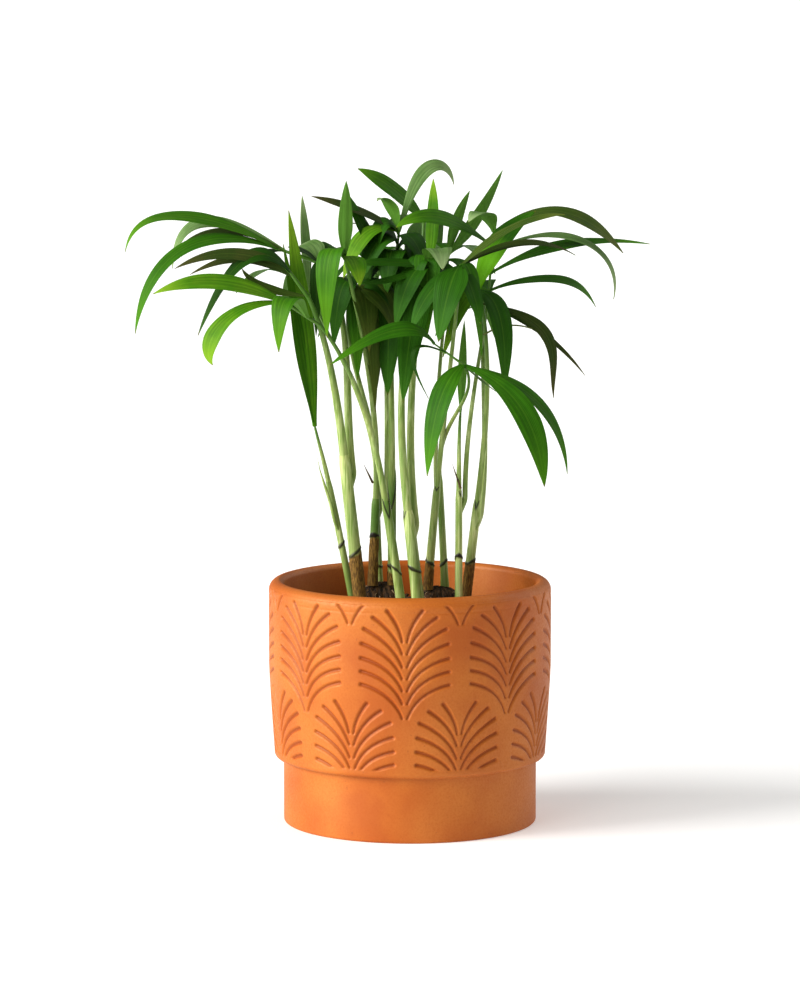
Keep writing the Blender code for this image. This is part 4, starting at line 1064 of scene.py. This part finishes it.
def leaf_frame(base, blade):
    """The shares of the way along a blade, and the midrib's points with the sideways and upward directions
    there. The midrib is a parabola in the upright plane of the heading, through the base, the arch and the
    tip. To that comes the bend, weighed by a curve that is 1 at three quarters of the length and 0 at the
    base, halfway and tip."""
    t = np.linspace(0, 1, LEAF_ROWS + 1)[:, None]
    arch, tip, bend = (np.array(pair, float) for pair in (blade.arch, blade.tip, blade.bend))
    pull = 2 * arch - tip / 2
    weight = (3 * t ** 3 - t ** 2 - 2 * t ** 4) * 128 / 9
    lean = (9 * t ** 2 - 2 * t - 8 * t ** 3) * 128 / 9
    out = bow(t, 0, pull, tip) + weight * bend
    slope = 2 * (1 - 2 * t) * pull + 2 * t * tip + lean * bend
    plane = np.stack([compass(blade.heading), [0.0, 0.0, 1.0]])
    forward = slope @ plane
    forward /= np.linalg.norm(forward, axis=1)[:, None]
    side = np.cross(*plane)
    return t, base + out @ plane, side, np.cross(side, forward)


def leaf_patch(base, blade, draw, upper_slot, lower_slot):
    """A leaflet as one thin closed skin. Across the blade, s runs from -1 to 1: the edges lift by
    LEAF_FOLD |s|^1.3 of the half-width, less 0.1 s^2, and ripple a little, and the skin's thickness falls to
    nothing at them. Each blade has a slight twist and wave of its own, from a seeded draw."""
    t, points, side, upper = leaf_frame(base, blade)
    twist, wave, phase = draw.uniform(-9, 9), draw.uniform(0.03, 0.09), draw.uniform(0, 2 * math.pi)
    turn = np.radians(blade.roll + twist * (t - 0.5))
    across = side * np.cos(turn) + upper * np.sin(turn)
    raised = upper * np.cos(turn) - side * np.sin(turn)
    half = blade.width / 2 * leaf_outline(t, blade.widest)
    s = np.linspace(-1, 1, 2 * LEAF_HALF_COLUMNS - 1)
    s = np.sign(s) * np.abs(s) ** 0.9
    around = np.concatenate([s, s[-2:0:-1]])[None, :]
    face = np.concatenate([np.ones(len(s)), -np.ones(len(s) - 2)])[None, :]
    lift = half * (LEAF_FOLD * np.abs(around) ** 1.3 - 0.1 * around ** 2)
    lift += half * wave * around * np.sin(9 * t + phase)
    lift += PLEAT_HEIGHT * np.cos(around * 3.5 * math.pi) * smooth(half / 2)
    thickness = (TIP_THICKNESS + BASE_THICKENING * np.exp(-16 * t)) * np.sqrt(np.clip(1 - around ** 2, 0, 1))
    midrib = MIDRIB_HEIGHT * np.exp(-(around * half / 0.4) ** 2) * (1 - 0.8 * t) * (face < 0)
    shift = lift + face * (thickness / 2 + midrib)
    skin = points[:, None] + across[:, None] * (half * around)[..., None] + raised[:, None] * shift[..., None]
    uv = np.stack(np.broadcast_arrays((around + 1) / 2, t), -1)
    slots = np.where(np.arange(around.size) < len(s) - 1, upper_slot, lower_slot)
    return closed_patch(skin, uv=uv, slots=slots[None, :])


# Leaflets of which the scene draws more than the solids do: the new values, by frond and place in its list.
FULLER = {
    "frond_05_front": {0: {"width": 13}, 1: {"width": 11}},
    "frond_06_middle": {
        0: {"width": 14, "tip": (20.5, -20)}, 1: {"width": 14, "tip": (12, -27)},
        2: {"width": 13, "tip": (22, -16)}, 4: {"width": 12, "tip": (13, -25)}, 5: {"width": 12.5}},
    "frond_07_crest": {
        6: {"width": 13}, 7: {"width": 13}, 8: {"width": 13, "tip": (12, -16)},
        9: {"width": 14, "tip": (13, -26)}, 10: {"width": 12, "tip": (16, -14)}, 11: {"width": 13}},
    "frond_08_centre": {5: {"width": 13}, 6: {"width": 12.5}},
    "frond_09_top": {0: {"width": 10, "roll": 48}},
    "frond_12_far_right": {5: {"width": 10, "roll": 40}},
}
# Blades that only the scene has: they hang in the shade between the others, inside the crown. Their dark
# tints are partly painted shade.
SHADE_BLADES = {
    "frond_06_middle": [
        (leaf(1.0, 280, arch=(5, -6), tip=(7, -40), width=10, roll=0), "rich"),
        (leaf(1.0, 318, arch=(8, -10), tip=(12, -54), width=9, roll=-10), "olive")],
    "frond_07_crest": [
        (leaf(0.95, 195, arch=(9, 2), tip=(15, -28), width=12, roll=20), "deep"),
        (leaf(0.6, 350, arch=(7, 1), tip=(11, -30), width=12, roll=-20), "deep"),
        (leaf(0.35, 290, arch=(6, 2), tip=(9, -27), width=12, roll=0), "rich"),
        (leaf(0.75, 160, arch=(8, 3), tip=(16, -20), width=11, roll=0), "dark")],
    "frond_08_centre": [
        (leaf(1.0, 212, arch=(7, 0), tip=(12, -26), width=12, roll=15), "deep"),
        (leaf(1.0, 262, arch=(5, 1), tip=(8, -31), width=12, roll=0), "rich"),
        (leaf(1.0, 350, arch=(5, 1), tip=(9, -30), width=10, roll=-20), "deep")],
    "frond_10_front_right": [
        (leaf(1.0, 330, arch=(6, -6), tip=(11, -40), width=8, roll=-15), "rich")],
}


def make_frond(name, frond, number, cane, blades, underside):
    """A frond: its petiole and rachis as one tapering limb, and its leaflets joined as another piece, each
    with its own tint. Together they stand for the CAD's frond. Leaflets in the middle of the clump are drawn
    fuller than the solids' own and in greater number, as FULLER and SHADE_BLADES say."""
    short = name.replace("frond_", "")
    line, widths, share = petiole_line(frond)
    greening = 0.12 + 0.78 * smooth((share - 0.3) / 0.7)
    limb = tube_patch(line, widths / 2, PETIOLE_COLUMNS, cane_values(len(line), rise=greening, tone=0.3))
    stalk = piece("petiole_" + short, [limb], [cane])
    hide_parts(name)

    head, spine = np.array(frond.head, float), rachis(frond)
    draw = np.random.default_rng(100 + number)
    fuller = FULLER.get(name, {})
    grown = [(blade._replace(**fuller.get(place, {})), tint)
             for place, (blade, tint) in enumerate(zip(frond.leaves, LEAF_TINTS[name], strict=True))]
    grown += SHADE_BLADES.get(name, [])
    tints = sorted({tint for _, tint in grown})
    patches = [leaf_patch(head + spine * blade.at, blade, draw, tints.index(tint), len(tints))
               for blade, tint in grown]
    finishes = [blades[tint] for tint in tints] + [underside]
    made = piece("leaflets_" + short, patches, finishes, 70)
    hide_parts(name)


def make_sheath_tip(name, frond, cane):
    """The tip of an old sheath that stands against its stem: a slim sliver whose width goes as 1.02 - s^3,
    with s from 0.3 at its foot to 1 at its point."""
    line, _, _ = petiole_line(frond)
    radii = SHEATH_TIP_WIDTHS[name] / 2 * (1.02 - np.linspace(0.3, 1, len(line)) ** 3)
    sliver = tube_patch(line, radii, 10, cane_values(len(line), tone=0.4))
    made = piece("sheath_point_" + name.split("_")[-1], [sliver], [cane])
    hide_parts(name)


# Thin dry points of sheaths, each (foot, tip), and the stalk that crosses from a petiole to a hanging
# leaflet, as (start, pull, end).
DRY_POINTS = [
    ((-16.4, 3, 150.3), (-20.6, 1, 159.2)),
    ((-13.1, 4, 153.0), (-12.7, 3, 158.5)),
    ((22.3, -7.6, 149.2), (18.4, -8.4, 160.5)),
]
CROSS_STALK = ((32.4, -4.6, 216.6), (42, -6, 223.5), (53.5, -6.5, 219.5))


def make_dry_points(dry):
    """The dry points of sheaths: straight slivers whose radius goes as (1.02 - t)^0.8."""
    t = np.linspace(0, 1, 10)[:, None]
    slivers = []
    for foot, tip in np.array(DRY_POINTS):
        slivers.append(tube_patch(foot + (tip - foot) * t, 0.55 * (1.02 - t) ** 0.8, 8))
    piece("sheath_points", slivers, [dry])


def make_cross_stalk(cane):
    """The thin stalk between a petiole and a leaflet that hangs across it."""
    t = np.linspace(0, 1, 24)[:, None]
    values = cane_values(len(t), woody=0.35, scar=0.25, rise=0.8)
    stalk = tube_patch(bow(t, *np.array(CROSS_STALK)), 0.42 - 0.12 * t, 8, values)
    piece("cross_stalk", [stalk], [cane])


def make_root_hairs(hair):
    """Thin pale roots that leave the root crowns and run down into the soil. Each is a quadratic curve,
    outward and down, with a seeded wobble."""
    draw = np.random.default_rng(31)
    t = np.linspace(0, 1, 12)[:, None]
    strands = []
    for crown, count in zip(ROOT_CROWNS.values(), (26, 20)):
        for heading in draw.uniform(150, 400, count):
            way = compass(heading) * np.array([1, CROWN_DEPTH * 2, 1])
            high = draw.uniform(0.3, 0.85)
            start = np.array([*crown.middle, SOIL_TOP + crown.height * high])
            start += way * crown.width / 2 * math.cos(high * 1.2)
            reach = draw.uniform(1.5, 5)
            end = start + way * reach
            end[2] = SOIL_TOP - 0.5 + draw.uniform(-0.3, 0.3)
            pull = start + way * reach * draw.uniform(0.5, 1.0) + np.array([0, 0, draw.uniform(0, 1.5)])
            line = bow(t, start, pull, end)
            line[1:-1] += draw.uniform(-0.22, 0.22, (10, 3))
            strands.append(tube_patch(line, 0.17 - 0.07 * t, 6))
    piece("root_hairs", strands, [hair], 70)


# The stage, in metres.

FLOOR_HALF = 40.0
SKY_STRENGTH = 0.30
DISPLAY_GAMMA = 0.9
# Lamps, each (name, the heading that its light is turned by, its elevation, its strength, its angular size).
LAMPS = [("key", -74, 22, 4.2, 38), ("second", -42, 24, 1.4, 45), ("fill", 115, 30, 1.1, 60)]
# The camera stands 2 m away and looks down a little through a long lens on a sensor 36 mm wide.
CAMERA_PLACE = (-0.0044, -2.0, 0.4)
CAMERA_LENS = 164.5
LOOKS_DOWN = 7.32


def make_floor():
    """A wide pale floor."""
    mesh = bpy.data.meshes.new("floor")
    corners = [(x * FLOOR_HALF, y * FLOOR_HALF, 0) for x, y in ((-1, -1), (1, -1), (1, 1), (-1, 1))]
    mesh.from_pydata(corners, [], [(0, 1, 2, 3)])
    mesh.materials.append(light_table("light_table"))
    stand("floor", mesh)


def make_light():
    """White light from all round, and soft lamps: two from the left and front and a weak one from the right
    and behind."""
    world = bpy.data.worlds.new("studio")
    world.use_nodes = True
    feed(world.node_tree, world.node_tree.nodes["Background"], {
        "Color": (1.0, 1.0, 1.0, 1.0), "Strength": SKY_STRENGTH})
    bpy.context.scene.world = world
    bpy.context.scene.view_settings.view_transform = "Standard"
    bpy.context.scene.view_settings.gamma = DISPLAY_GAMMA
    for name, heading, elevation, strength, size in LAMPS:
        lamp = bpy.data.lights.new(name, "SUN")
        lamp.energy = strength
        lamp.angle = math.radians(size)
        stand(name, lamp).rotation_euler = (math.radians(90 - elevation), 0, math.radians(heading))


def make_camera():
    """The photograph's camera."""
    lens = bpy.data.cameras.new("camera")
    lens.sensor_width = 36
    lens.lens = CAMERA_LENS
    lens.clip_end = 200
    camera = stand("camera", lens)
    camera.location = CAMERA_PLACE
    camera.rotation_euler = (math.radians(90 - LOOKS_DOWN), 0, 0)
    bpy.context.scene.camera = camera


def main():
    """Makes every piece of the plant and its pot, and the stage."""
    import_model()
    clay = fired_clay("fired_clay")
    earth = potting_soil("potting_soil")
    husk = root_bark("root_husk", "#1c1108", "#5f4120")
    hair = root_bark("root_hair", "#7a5b3c", "#c9ad8a")
    dry = root_bark("dry_sheath", "#2c2213", "#6f5a33")
    cane = young_cane("young_cane")
    blades = {tint: palm_leaf("leaf_" + tint, *settings) for tint, settings in TINTS.items()}
    underside = leaf_underside("leaf_underside", "#5d8a33")
    make_pot_body(clay)
    make_collar(clay)
    make_soil(earth)
    for name, crown in ROOT_CROWNS.items():
        make_crown(name, crown, husk)
    make_root_hairs(hair)
    for name, stem in STEMS.items():
        make_stem(name, stem, cane)
    for number, (name, frond) in enumerate(FRONDS.items()):
        make_frond(name, frond, number, cane, blades, underside)
    for name, frond in SHEATH_TIPS.items():
        make_sheath_tip(name, frond, cane)
    make_dry_points(dry)
    make_cross_stalk(cane)
    make_floor()
    make_light()
    make_camera()


main()
